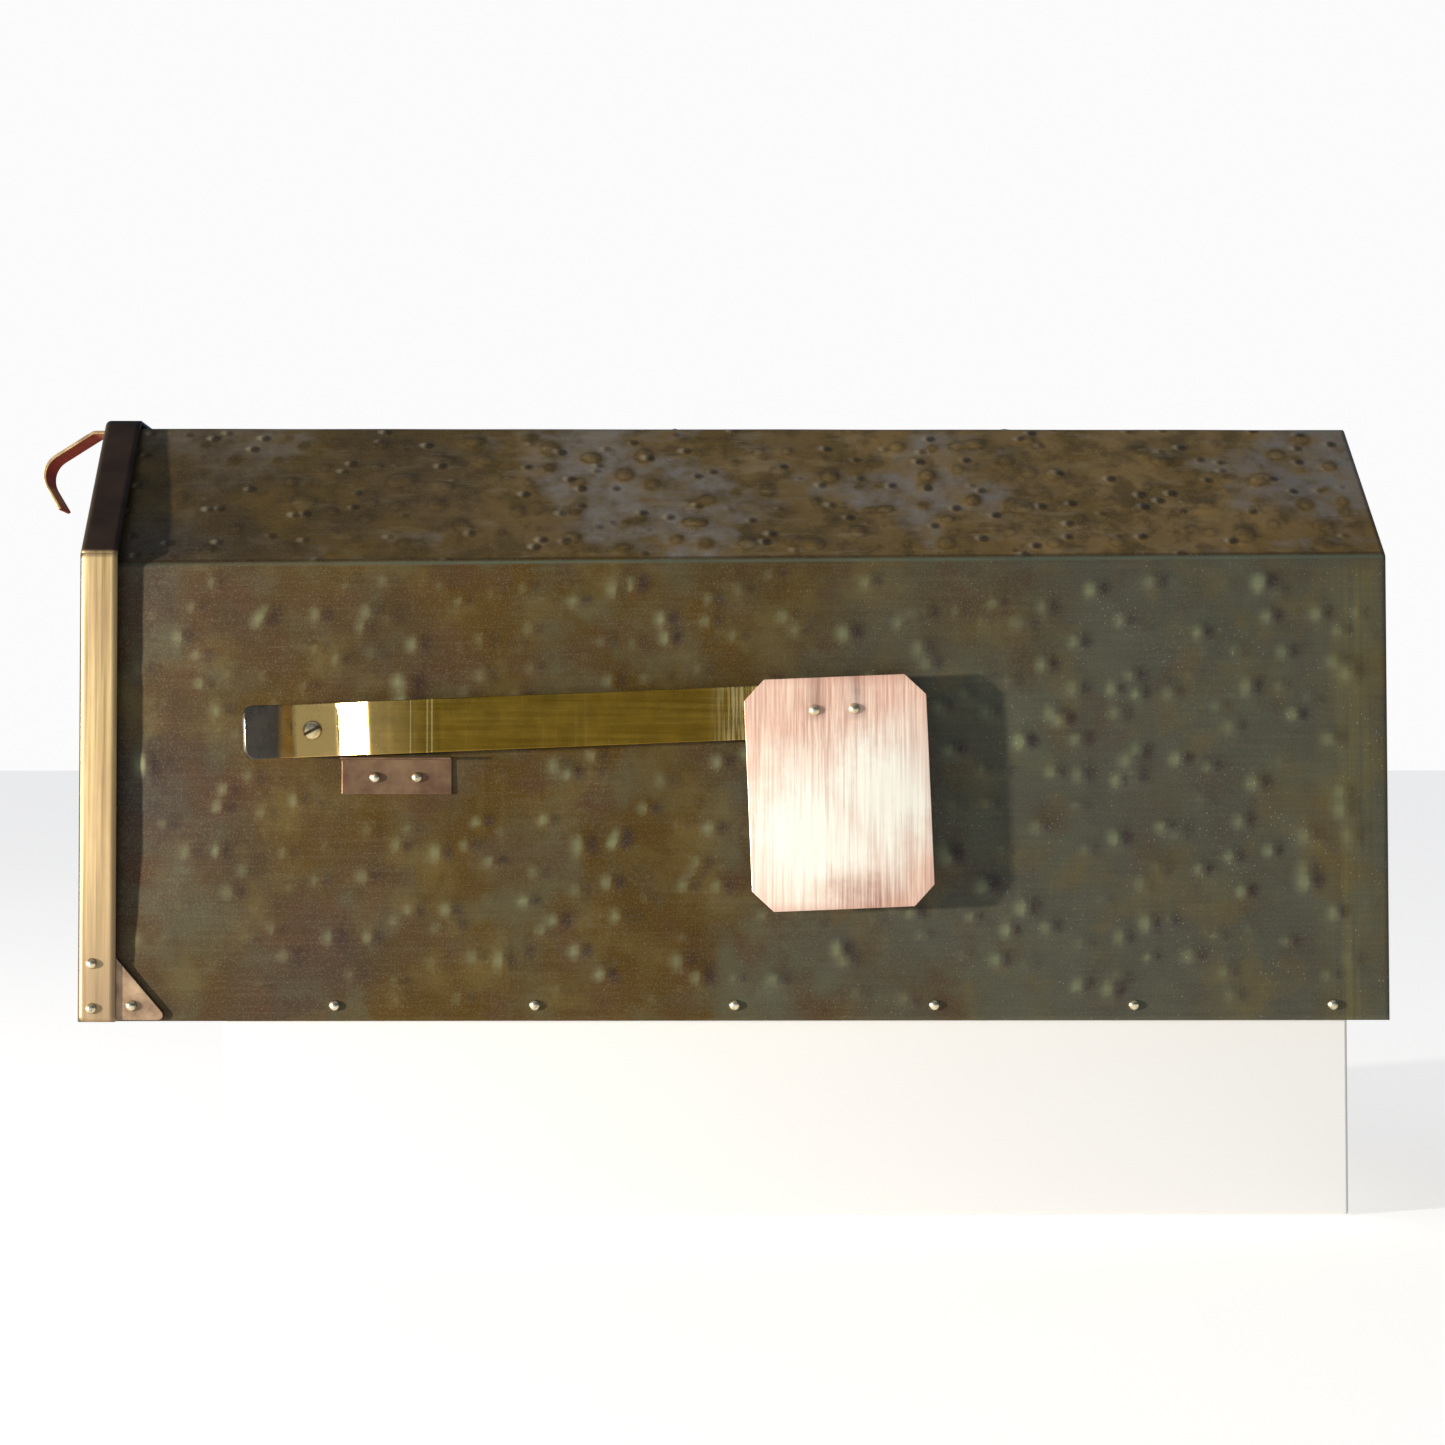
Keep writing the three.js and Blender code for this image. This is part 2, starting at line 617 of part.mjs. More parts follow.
place(mailbox, "stop_bracket", stopBracket(), earCopper, [0, -WALL, 0]);
for (const [rowName, x] of Object.entries(BRACKET_RIVETS)) {
  const position = [x, -WALL - BRACKET_SHEET - 2 * CONTACT, BRACKET_RIVET_HEIGHT];
  const grip = BRACKET_SHEET + SHEET + 3 * CONTACT;
  place(mailbox, `stop_bracket_rivet_${rowName}`, rivet(grip), rivetMetal, position, outwards);
}

export default mailbox;
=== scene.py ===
"""The looks of a hammered brass letter box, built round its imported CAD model. Metres, +Z up.

+X runs from the door to the back, -Y is the flag side. "right" and "left" are as seen facing the door.
"""

import json
import math

import bmesh
import bpy
import numpy as np
from mathutils import Matrix, Vector


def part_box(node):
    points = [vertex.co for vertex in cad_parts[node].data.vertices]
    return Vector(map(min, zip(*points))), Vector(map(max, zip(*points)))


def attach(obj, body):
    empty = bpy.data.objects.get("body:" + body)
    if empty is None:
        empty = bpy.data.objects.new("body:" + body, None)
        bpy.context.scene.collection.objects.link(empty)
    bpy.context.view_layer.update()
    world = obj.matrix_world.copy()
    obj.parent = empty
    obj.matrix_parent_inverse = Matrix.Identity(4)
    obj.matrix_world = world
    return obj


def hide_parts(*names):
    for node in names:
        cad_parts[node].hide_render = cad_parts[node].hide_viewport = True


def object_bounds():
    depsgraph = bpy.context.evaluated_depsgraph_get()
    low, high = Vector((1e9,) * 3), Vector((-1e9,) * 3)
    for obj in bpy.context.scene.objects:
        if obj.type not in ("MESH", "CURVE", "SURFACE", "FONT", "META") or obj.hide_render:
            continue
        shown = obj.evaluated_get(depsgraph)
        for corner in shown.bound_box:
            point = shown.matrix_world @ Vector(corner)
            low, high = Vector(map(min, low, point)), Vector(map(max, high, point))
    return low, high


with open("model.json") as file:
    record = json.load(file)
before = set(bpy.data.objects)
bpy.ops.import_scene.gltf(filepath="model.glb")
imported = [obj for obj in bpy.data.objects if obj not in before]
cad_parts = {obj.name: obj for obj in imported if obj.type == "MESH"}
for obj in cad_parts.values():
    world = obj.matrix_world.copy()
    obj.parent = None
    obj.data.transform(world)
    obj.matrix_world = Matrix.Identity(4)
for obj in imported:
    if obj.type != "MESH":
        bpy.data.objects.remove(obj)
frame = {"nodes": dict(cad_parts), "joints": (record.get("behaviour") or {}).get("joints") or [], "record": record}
cad_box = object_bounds()
nodes = frame["nodes"]

# ---- Sizes, from the frame and from the few dimensions that shape the sheet metal ----

MM = 0.001
SHEET = 1.2 * MM
BEND = 3.1 * MM  # outer radius of a fold
ROOF_RUN = 56 * MM
EAVE_FRONT = 176.8 * MM  # the hand-made eave fold climbs a little towards the back
EAVE_BACK = 180.6 * MM
EAVE_CAD = 180 * MM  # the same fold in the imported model
GRID = 2.0 * MM  # mesh spacing on the hammered sheets
EDGE = 0.3 * MM  # how far the edges of the sheet are broken
FOLD_REACH = 4 * MM  # how far on each side of a fold the mesh follows its curve
PAN_FOLD = 2.4 * MM  # outer radius of the folds round the pans
SEAM = 0.12 * MM  # gap at the corners of the pans' rims
BLOW_PITCH = 14 * MM  # spacing of the hammer's blows
SHELL_BLOW = (0.7 * MM, 2.2 * MM)  # height and radius of a middling blow
PAN_BLOW = (0.55 * MM, 2.5 * MM)
SCREW_HOLE = 2.15 * MM  # radius of the bores round the pivot screw
PIN_HOLE = 1.4 * MM  # and of those round the hinge's pivot rivets

shell_low, shell_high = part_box("body_shell")
door_low, door_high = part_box("door_panel")
wall_y = shell_high.y
roof_z = shell_high.z
ridge_y = wall_y - ROOF_RUN


def centre(node):
    low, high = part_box(node)
    return (low + high) / 2


# ---- Mesh helpers ----


def new_object(name, mesh):
    piece = bpy.data.objects.new(name, mesh)
    bpy.context.scene.collection.objects.link(piece)
    return piece


def mesh_object(name, vertices, faces, smooth=True):
    mesh = bpy.data.meshes.new(name)
    mesh.from_pydata([tuple(v) for v in vertices], [], faces)
    mesh.validate()
    if smooth:
        mesh.shade_smooth()
    return new_object(name, mesh)


def grid_faces(rows, columns, start=0, close_columns=False, close_rows=False):
    faces = []
    for i in range(rows if close_rows else rows - 1):
        a, b = start + i * columns, start + (i + 1) % rows * columns
        for j in range(columns if close_columns else columns - 1):
            k = (j + 1) % columns
            faces.append((a + j, a + k, b + k, b + j))
    return faces


def grid_object(name, points):
    rows, columns = points.shape[:2]
    return mesh_object(name, points.reshape(-1, 3), grid_faces(rows, columns))


def block_object(name, matrix):
    """A cube of 1 m, sized and placed by matrix."""
    made = bmesh.new()
    bmesh.ops.create_cube(made, size=1)
    mesh = bpy.data.meshes.new(name)
    made.to_mesh(mesh)
    made.free()
    mesh.transform(matrix)
    return new_object(name, mesh)


def thicken(piece, thickness, offset):
    solid = piece.modifiers.new("thickness", "SOLIDIFY")
    solid.thickness = thickness
    solid.offset = offset
    solid.use_even_offset = True
    return piece


def round_edges(piece, width, segments=3, angle=40):
    bevel = piece.modifiers.new("rounded edges", "BEVEL")
    bevel.width = width
    bevel.segments = segments
    bevel.limit_method = "ANGLE"
    bevel.angle_limit = math.radians(angle)
    bevel.harden_normals = True
    return piece


def body_of(node):
    for body, members in frame["record"]["behaviour"]["bodies"].items():
        if node in members:
            return body
    raise ValueError(node)


def dress(piece, material, node=None):
    """Gives a piece its material. A new piece also rides on the body of the node it stands for."""
    piece.data.materials.clear()
    piece.data.materials.append(material)
    if node:
        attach(piece, body_of(node))
        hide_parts(node)
    return piece


def ramp(value, start, width):
    """0 up to start, and evenly up from there to 1 over width."""
    return np.clip((value - start) / width, 0, 1)


def fillet(before, corner, after, radius, steps=6):
    """Points of an arc that rounds a corner of a flat path."""
    back = (before - corner) / np.linalg.norm(before - corner)
    on = (after - corner) / np.linalg.norm(after - corner)
    half = math.acos(np.clip(back @ on, -1, 1)) / 2
    middle = (back + on) / np.linalg.norm(back + on)
    centre_point = corner + middle * radius / math.sin(half)
    start = corner + back * radius / math.tan(half) - centre_point
    sweep = (math.pi - 2 * half) * np.sign(back[1] * on[0] - back[0] * on[1])
    points = []
    for angle in np.linspace(0, sweep, steps + 1):
        c, s = math.cos(angle), math.sin(angle)
        points.append(centre_point + np.array([[c, -s], [s, c]]) @ start)
    return points


def rounded_path(corners, radius, spacing, counts=None, steps=6):
    """A flat path with filleted corners. Straight stretches are divided by spacing or by given counts."""
    corners = [np.array(c, float) for c in corners]
    radii = np.broadcast_to(radius, len(corners) - 2)
    arcs = [fillet(*corners[i : i + 3], radii[i], steps) for i in range(len(radii))]
    ends = [corners[0]] + [p for arc in arcs for p in (arc[0], arc[-1])] + [corners[-1]]
    straights = [(ends[i], ends[i + 1]) for i in range(0, len(ends), 2)]
    if counts is None:
        counts = [max(2, round(np.linalg.norm(b - a) / spacing)) for a, b in straights]
    points = []
    for i, (a, b) in enumerate(straights):
        points += [a + (b - a) * t for t in np.linspace(0, 1, counts[i] + 1)]
        if i < len(arcs):
            points += arcs[i][1:-1]
    return np.array(points), counts


def lengths_along(points):
    steps = np.linalg.norm(np.diff(points, axis=0), axis=1)
    return np.concatenate([[0], np.cumsum(steps)])


def normals_left(points):
    along = np.gradient(points, axis=0)
    along /= np.linalg.norm(along, axis=1)[:, None]
    return np.stack([-along[:, 1], along[:, 0]], axis=1)


# ---- Hammering ----


def smooth_noise(u, v, rng, size):
    """Gentle waviness of a sheet: a sum of sines with wavelengths round the given size."""
    waves = 10
    total = np.zeros_like(u)
    for _ in range(waves):
        angle = rng.uniform(0, 2 * math.pi)
        wavelength = size * rng.uniform(0.7, 1.8)
        phase = (u * math.cos(angle) + v * math.sin(angle)) * 2 * math.pi / wavelength
        total += np.sin(phase + rng.uniform(0, 2 * math.pi))
    return total / math.sqrt(waves)


def hammered(u, v, rng, height, radius, calm):
    """Height of the dents over a sheet whose flat coordinates are the grids u and v.

    calm lists (u, v, reach) round which the sheet was left flat, under rivets and fittings.
    """
    pitch = BLOW_PITCH
    relief = np.zeros_like(u)
    u_line, v_line = u[0], v[:, 0]
    for u0 in np.arange(u.min() + pitch / 2, u.max(), pitch):
        for v0 in np.arange(v.min() + pitch / 2, v.max(), pitch):
            cu = u0 + rng.uniform(-0.5, 0.5) * pitch
            cv = v0 + rng.uniform(-0.5, 0.5) * pitch
            tall = height * rng.uniform(0.3, 1.3)
            wide = radius * rng.uniform(0.75, 1.3)
            squash = rng.uniform(0.75, 1.3)
            if rng.uniform() < 0.1:
                continue
            i0, i1 = np.searchsorted(v_line, [cv - 4 * wide, cv + 4 * wide])
            j0, j1 = np.searchsorted(u_line, [cu - 4 * wide, cu + 4 * wide])
            du = (u[i0:i1, j0:j1] - cu) / wide
            dv = (v[i0:i1, j0:j1] - cv) / (wide * squash)
            square = du * du + dv * dv
            relief[i0:i1, j0:j1] += tall * (0.65 * np.exp(-square) + 0.35 * np.exp(-square / 4))
    for cu, cv, reach in calm:
        relief *= ramp(np.hypot(u - cu, v - cv), reach, 0.5 * reach)
    return relief


def store_relief(piece, relief, lee=None):
    """Keeps for the material the hammering's height, from 0 to 1, and which way its flanks face: 0 on
    those towards the door, 1 on those towards the back."""
    span = max(float(np.percentile(relief, 99.5)), 1e-9)
    fields = {"relief": relief / span, "lee": np.full_like(relief, 0.5) if lee is None else lee}
    for name, field in fields.items():
        attribute = piece.data.attributes.new(name, "FLOAT", "POINT")
        attribute.data.foreach_set("value", np.clip(field, 0, 1).astype(np.float32).ravel())


def lee_of(relief, along):
    """0.5 where the sheet is level, towards 1 on flanks that fall away as the along line goes up."""
    return np.clip(0.5 - np.gradient(relief, along, axis=1) / 0.36, 0, 1)


# ---- Body shell ----


def profile_of(eave, counts=None):
    """The section of the shell as seen from the door, (y, z) from the right wall's foot to the left's."""
    right = [(-wall_y, shell_low.z), (-wall_y, eave), (-ridge_y, roof_z)]
    corners = right + [(-y, z) for y, z in right[::-1]]
    return rounded_path(corners, BEND, GRID, counts)


def edged_lines(low, high):
    """Evenly spaced grid lines with one more close to each end, for the broken edge. Their count is odd."""
    cells = 2 * round((high - low) / GRID / 2)
    inner = np.linspace(low, high, cells + 1)
    return np.concatenate([[low, low + EDGE], inner[1:-1], [high - EDGE, high]])


def two_skins(name, outer, normals, relief, lee, base):
    """A sheet with a fine outer skin and an inner one of every second grid line, joined at the rim."""
    rows, columns = outer.shape[:2]
    inner = (base - normals * SHEET)[::2, ::2]
    in_rows, in_columns = inner.shape[:2]
    start = rows * columns
    faces = grid_faces(rows, columns)
    faces += [f[::-1] for f in grid_faces(in_rows, in_columns, start)]
    for j in range(in_columns - 1):
        for i, k in ((0, 0), (rows - 1, in_rows - 1)):
            fine = [i * columns + 2 * j + n for n in range(3)]
            coarse = [start + k * in_columns + j + n for n in (1, 0)]
            faces.append((fine + coarse)[:: -1 if i == 0 else 1])
    for i in range(in_rows - 1):
        for j, k in ((0, 0), (columns - 1, in_columns - 1)):
            fine = [(2 * i + n) * columns + j for n in range(3)]
            coarse = [start + (i + n) * in_columns + k for n in (1, 0)]
            faces.append((fine + coarse)[:: -1 if j else 1])
    piece = mesh_object(name, np.concatenate([outer.reshape(-1, 3), inner.reshape(-1, 3)]), faces)
    both = [np.concatenate([field.ravel(), field[::2, ::2].ravel()]) for field in (relief, lee)]
    store_relief(piece, *both)
    made = bmesh.new()
    made.from_mesh(piece.data)
    bmesh.ops.recalc_face_normals(made, faces=made.faces)
    made.to_mesh(piece.data)
    made.free()
    piece.data.set_sharp_from_angle(angle=math.radians(52))
    return piece


def fitting_places(total):
    """(u, v, reach) of the rivets and fittings on the shell, where the hammer didn't go."""
    places = []
    for name in nodes:
        c = centre(name)
        if name.startswith(("floor_rivet", "stop_bracket_rivet", "hinge_pivot_rivet")):
            reach = 17 * MM if name.startswith("hinge") else 5 * MM
            places.append((c.x, c.z if c.y < 0 else total - c.z, reach))
        if name.startswith("catch_rivet"):
            places.append((c.x, total / 2 + c.y, 5 * MM))
    pivot = centre("flag_spacer")
    places.append((pivot.x, pivot.z, 9 * MM))
    low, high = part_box("stop_bracket")
    places += [(x, low.z + 7 * MM, 12 * MM) for x in np.linspace(low.x, high.x, 4)]
    return places


def section_lines(dense, folds):
    """Grid lines along the section: even ones, and the profile's own points over the folds. Their count
    is odd, so that every second one makes the inner skin."""

    def off_fold(lengths):
        return np.min(np.abs(lengths[:, None] - np.array(folds)), axis=1)

    even = edged_lines(0, dense[-1])
    on_flats = even[off_fold(even) > FOLD_REACH]
    inside = (dense > FOLD_REACH) & (dense < dense[-1] - FOLD_REACH)
    over_folds = dense[(off_fold(dense) <= FOLD_REACH) & inside]
    lines = np.unique(np.concatenate([on_flats, over_folds]))
    return lines if len(lines) % 2 else np.insert(lines, 3, (lines[2] + lines[3]) / 2)


def build_shell():
    """One sheet folded over the roof, hammered from inside so that each blow stands out as a bump."""
    rng = np.random.default_rng(7)
    front, counts = profile_of(EAVE_FRONT)
    back, _ = profile_of(EAVE_BACK, counts)
    dense = lengths_along(front)
    total = dense[-1]
    folds = [EAVE_FRONT, total / 2 - ridge_y, total / 2 + ridge_y, total - EAVE_FRONT]
    s = section_lines(dense, folds)
    x = edged_lines(shell_low.x, shell_high.x)
    u, v = np.meshgrid(x, s)
    from_door = u - x[0]

    def along_section(points):
        return np.stack([np.interp(s, dense, line) for line in points.T], axis=1)[:, None, :]

    t = (from_door / (x[-1] - x[0]))[..., None]
    place = along_section(front) * (1 - t) + along_section(back) * t
    outward = along_section(normals_left(front)) * np.ones_like(t)

    on_roof = (v > folds[0]) & (v < folds[3])
    off_fold = np.min([np.abs(v - f) for f in folds], axis=0)
    foot = np.minimum(v, total - v)
    edge = np.minimum(foot - 3 * MM, x[-1] - u - 2 * MM)

    relief = hammered(u, v, rng, *SHELL_BLOW, fitting_places(total))
    relief *= ramp(off_fold, 2 * MM, 6 * MM) * ramp(edge, 0, 10 * MM) * ramp(u, door_high.x, 9 * MM)
    relief *= np.where(on_roof, 1.25, 1) * np.interp(from_door, [0, 0.2], [0.65, 1])

    waves = smooth_noise(u, v, rng, 60 * MM) * np.where(on_roof, 0.34, 0.2) * MM
    waves *= ramp(edge, 0, 30 * MM) * ramp(from_door, 0, 30 * MM) * np.clip(off_fold / (16 * MM), 0.1, 1)
    drawn_in = 2.1 * MM * np.exp(-((from_door / (38 * MM)) ** 2)) * ramp(foot, 15 * MM, 50 * MM)
    drawn_in *= ramp(folds[1] - foot, 0, folds[1] - folds[0]) ** 0.5
    broken = np.zeros_like(u)
    broken[[0, -1], :] = EDGE
    broken[:, [0, -1]] = EDGE

    def lifted(height):
        height = (waves - drawn_in + height)[..., None]
        return np.concatenate([u[..., None], place + outward * height], axis=2)

    normals = np.concatenate([np.zeros_like(t), outward], axis=2)
    outer, inner_base = lifted(relief - broken), lifted(0.8 * relief)
    return two_skins("hammered_shell", outer, normals, relief, lee_of(relief, x), inner_base)


# ---- Pans: the door and the back panel ----


def pan_corners(outer_y, outer_eave, outer_ridge, top, bottom, inset):
    """Corners of the half-hexagon, moved inwards by inset everywhere but at the bottom."""
    shift = inset * math.tan(math.pi / 8)
    y = outer_y - inset
    left = [(outer_ridge - shift, top - inset), (y, outer_eave - shift), (y, bottom)]
    return np.array([(-y, z) for y, z in left[::-1]] + left)


def build_pan(name, node, along, seed, calm=()):
    """A hammered face with a rim folded from each edge of it but the bottom one. along says which way the
    rim stands: 1 towards the back, -1 towards the door."""
    rng = np.random.default_rng(seed)
    low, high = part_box(node)
    face_x = low.x if along > 0 else high.x
    depth, bottom = high.x - low.x, low.z
    shift = (high.y - wall_y) * math.tan(math.pi / 8)
    shape = (high.y, EAVE_CAD + shift, ridge_y + shift, high.z, bottom)
    (half_top, top), (half_foot, eave), _ = pan_corners(*shape, PAN_FOLD)[3:]

    z_wall = np.linspace(bottom, eave, round((eave - bottom) / GRID) + 1)
    z_slope = np.linspace(eave, top, round((top - eave) / GRID) + 1)[1:]
    z_rows = np.concatenate([z_wall, z_slope])
    half = np.interp(z_rows, [bottom, eave, top], [half_foot, half_foot, half_top])
    across = np.linspace(-1, 1, round(2 * half[0] / GRID) + 1)
    y = half[:, None] * across
    flat_y, z = np.meshgrid(half[0] * across, z_rows)
    relief = hammered(flat_y, z, rng, *PAN_BLOW, calm)
    margin = np.minimum(np.minimum(half[:, None] - np.abs(y), top - z), z - bottom)
    relief *= ramp(margin, 2 * MM, 8 * MM)
    waves = smooth_noise(y, z, rng, 80 * MM) * 0.15 * MM * ramp(margin, 0, 25 * MM)
    face = np.stack([face_x - along * (relief + waves), y, z], axis=2)
    vertices, heights = [face.reshape(-1, 3)], [relief.ravel()]
    faces = grid_faces(*face.shape[:2])

    quarter = np.linspace(0, math.pi / 2, 7)
    rings = [(PAN_FOLD * (1 - math.sin(a)), PAN_FOLD * (1 - math.cos(a))) for a in quarter]
    rings += [(0, PAN_FOLD + (depth - PAN_FOLD) * t) for t in np.linspace(0, 1, 6)[1:]]
    wall_t = (z_wall - bottom) / (eave - bottom)
    slope_t = np.concatenate([[0], (z_slope - eave) / (top - eave)])
    rims = [wall_t, slope_t, (across + 1) / 2, 1 - slope_t[::-1], 1 - wall_t[::-1]]
    for a, t in enumerate(rims):
        strip = []
        for k, (inset, back) in enumerate(rings):
            start, end = pan_corners(*shape, inset)[a : a + 2]
            run = (end - start) / np.linalg.norm(end - start)
            if k >= 2:
                start = start + run * (SEAM if a else 0)
                end = end - run * (SEAM if a < 4 else 0)
            line = start + (end - start) * t[:, None]
            strip.append(np.column_stack([np.full(len(t), face_x + along * back), line]))
        faces += grid_faces(len(rings), len(t), start=sum(map(len, vertices)))
        vertices.append(np.concatenate(strip))
        heights.append(np.zeros(len(vertices[-1])))
    piece = mesh_object(name, np.concatenate(vertices), faces)
    store_relief(piece, np.concatenate(heights))
    made = bmesh.new()
    made.from_mesh(piece.data)
    bmesh.ops.remove_doubles(made, verts=made.verts, dist=0.02 * MM)
    bmesh.ops.recalc_face_normals(made, faces=made.faces)
    made.normal_update()
    if sum(f.normal.x * f.calc_area() for f in made.faces) * along > 0:
        bmesh.ops.reverse_faces(made, faces=made.faces)
    made.to_mesh(piece.data)
    made.free()
    return thicken(piece, SHEET, -1)


def build_door():
    foot, rivet = centre("handle_strap"), centre("handle_rivet_right")
    calm = [(foot.y, rivet.z + 8 * MM * i, 15 * MM) for i in range(-1, 4)]
    return build_pan("door_pan", "door_panel", 1, 19, calm)


# ---- Strips: arm, handle, bracket ----


def strip_object(name, path, across, half_width, thickness, columns=5, edge=0.25 * MM):
    """A flat bar that follows path, a line of 3-D points. across is the unit vector of its width, and
    half_width one value or one for each point."""
    half_width = np.broadcast_to(half_width, len(path))
    across = np.array(across, float)
    t = np.linspace(-1, 1, columns)
    points = path[:, None, :] + across[None, None, :] * (half_width[:, None] * t[None, :])[..., None]
    piece = grid_object(name, points)
    thicken(piece, thickness, 0)
    return round_edges(piece, edge)


def build_handle():
    """The pull: a foot on the door's face, a short level shelf and a hook that curls back down."""
    low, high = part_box("handle_strap")
    thickness = 1.5 * MM
    face_x, front_x = high.x - thickness / 2, low.x + thickness / 2
    shelf_z = high.z - thickness / 2
    foot = [(face_x, low.z), (face_x, shelf_z)]
    hook = [(front_x - 3.2 * MM, 222.9 * MM), (front_x + 7 * MM, 205.7 * MM)]
    corners = [*foot, (door_low.x - 11 * MM, shelf_z), *hook]
    line, _ = rounded_path(corners, [2.2 * MM, 4 * MM, 10 * MM], 4 * MM, steps=10)
    path = np.column_stack([line[:, 0], np.zeros(len(line)), line[:, 1]])
    half = (high.y - low.y) / 2
    return strip_object("handle_pull", path, (0, 1, 0), half, thickness, edge=0.4 * MM)


def build_bracket():
    low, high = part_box("stop_bracket")
    thickness = 1.06 * MM
    wall_side = high.y - thickness / 2
    shelf = high.z - thickness / 2
    corners = [(wall_side, low.z), (wall_side, shelf), (low.y, shelf)]
    line, _ = rounded_path(corners, 1 * MM, 3 * MM)
    path = np.column_stack([np.full(len(line), (low.x + high.x) / 2), line])
    return strip_object("flag_stop", path, (1, 0, 0), (high.x - low.x) / 2, thickness, edge=0.45 * MM)


FLAG_TILT = math.radians(2.3)
ARM_WIDTH = 20.6 * MM
ARM_THICKNESS = 1.6 * MM
ARM_NEAR, ARM_FAR = 2.6 * MM, 11.4 * MM  # its middle line from the pivot's seat, there and at the plate
PLATE_THICKNESS = 1 * MM
flag_pivot = Vector(frame["joints"][1]["pos_m"])


def flag_place():
    """Turns flag coordinates (along the arm, towards the wall, up) into the row frame."""
    return Matrix.Translation(flag_pivot) @ Matrix.Rotation(-FLAG_TILT, 4, "Y")


def build_arm():
    """The flag's strip: thumb tab, flat seat on the pivot, ramp off the wall, then a long level run."""
    tab = (-24.5 * MM, ARM_NEAR + 17 * MM)
    seat = [(-7.5 * MM, ARM_NEAR), (9.5 * MM, ARM_NEAR)]
    corners = [tab, *seat, (22.8 * MM, ARM_FAR), (219.6 * MM, ARM_FAR)]
    line, _ = rounded_path(corners, 3 * MM, 1 * MM)
    u = line[:, 0]
    for score, depth in ((39.3, 0.1), (45.8, 0.14), (49.6, 0.12)):
        line[:, 1] -= depth * MM * np.exp(-(((u - score * MM) / (0.5 * MM)) ** 2))
    line[:, 1] += 0.12 * MM * np.sin(u / (31 * MM)) * (u > 30 * MM)
    from_tail = lengths_along(line)
    corner = 4.2 * MM
    cut = np.clip(corner - from_tail, 0, corner)
    half = ARM_WIDTH / 2 - corner + np.sqrt(np.clip(corner**2 - cut**2, 0, None))
    path = np.column_stack([line[:, 0], -line[:, 1], np.zeros(len(line))])
    piece = strip_object("arm_strip", path, (0, 0, 1), half, ARM_THICKNESS, columns=7, edge=0.3 * MM)
    piece.data.transform(flag_place())
    return piece


def plate_object(name, outline, thickness, matrix, edge):
    """A flat plate cut to an outline in its own XZ plane, standing out along -Y."""
    made = bmesh.new()
    ring = [made.verts.new((x, 0, z)) for x, z in outline]
    made.faces.new(ring)
    lifted = bmesh.ops.extrude_face_region(made, geom=list(made.faces))
    moved = [v for v in lifted["geom"] if isinstance(v, bmesh.types.BMVert)]
    bmesh.ops.translate(made, verts=moved, vec=(0, -thickness, 0))
    bmesh.ops.recalc_face_normals(made, faces=made.faces)
    mesh = bpy.data.meshes.new(name)
    made.to_mesh(mesh)
    made.free()
    mesh.shade_smooth()
    mesh.transform(matrix)
    return round_edges(new_object(name, mesh), edge)


def build_flag_plate():
    """The copper flag, snipped by hand and a little bowed, so that it catches the light unevenly."""
    start, end, top, bottom, snip = 166.7 * MM, 236.7 * MM, 12.5 * MM, -76.5 * MM, 8 * MM
    z = np.concatenate([
        np.linspace(bottom, bottom + snip, 5),
        np.linspace(bottom + snip, top - snip, 37)[1:-1],
        np.linspace(top - snip, top, 5),
    ])
    inset = np.clip(np.maximum(snip - (z - bottom), snip - (top - z)), 0, None)
    t = np.linspace(0, 1, 33)
    left, right = start + inset, end - inset
    x = left[:, None] + (right - left)[:, None] * t[None, :]
    z = np.repeat(z[:, None], len(t), axis=1)
    across = (x - (start + end) / 2) / (end - start) * 2
    up = (z - (top + bottom) / 2) / (top - bottom) * 2
    bow = 1.1 * MM * (1 - across**2) * (0.75 - 0.25 * up) + 0.5 * MM * (1 - up) * (1 - across) / 4
    bow *= ramp(top - z, 0, 28 * MM)
    y = -(ARM_FAR + ARM_THICKNESS / 2 + 0.05 * MM + PLATE_THICKNESS / 2) - bow
    piece = grid_object("copper_flag", np.stack([x, y, z], axis=2))
    thicken(piece, PLATE_THICKNESS, 0)
    piece.data.transform(flag_place())
    return round_edges(piece, 0.2 * MM)


def build_ear(node):
    low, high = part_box(node)
    front, bottom = low.x, low.z
    corners = [(front, bottom), (front + 33.9 * MM, bottom), (front, bottom + 39.5 * MM)]
    loop = []
    for i in range(3):
        loop += fillet(*(np.array(corners[(i + k) % 3]) for k in (-1, 0, 1)), 2 * MM)
    place = Matrix.Translation((0, high.y, 0))
    return plate_object(node.replace("hinge_", ""), loop, high.y - low.y, place, 0.25 * MM)


# ---- Rivets, screw, nut and washers ----


def turned(name, profile, segments=32):
    """A body of revolution about Z from (radius, height) pairs that start and end on the axis."""
    angles = np.linspace(0, 2 * math.pi, segments, endpoint=False)
    rings = [p for p in profile if p[0] > 0]
    points = [(r * math.cos(a), r * math.sin(a), h) for r, h in rings for a in angles]
    faces = grid_faces(len(rings), segments, close_columns=True)
    low_tip, high_tip = len(points), len(points) + 1
    points += [(0, 0, profile[0][1]), (0, 0, profile[-1][1])]
    last = (len(rings) - 1) * segments
    for j in range(segments):
        k = (j + 1) % segments
        faces.append((low_tip, k, j))
        faces.append((high_tip, last + j, last + k))
    piece = mesh_object(name, points, faces)
    piece.data.set_sharp_from_angle(angle=math.radians(50))
    return piece


def facing(direction):
    return Vector((0, 0, 1)).rotation_difference(Vector(direction)).to_matrix().to_4x4()


def rivet_direction(name):
    if name.startswith("handle"):
        return (-1, 0, 0)
    if name.startswith("catch"):
        return (0, 0, 1)
    return (0, 1, 0) if "left" in name else (0, -1, 0)


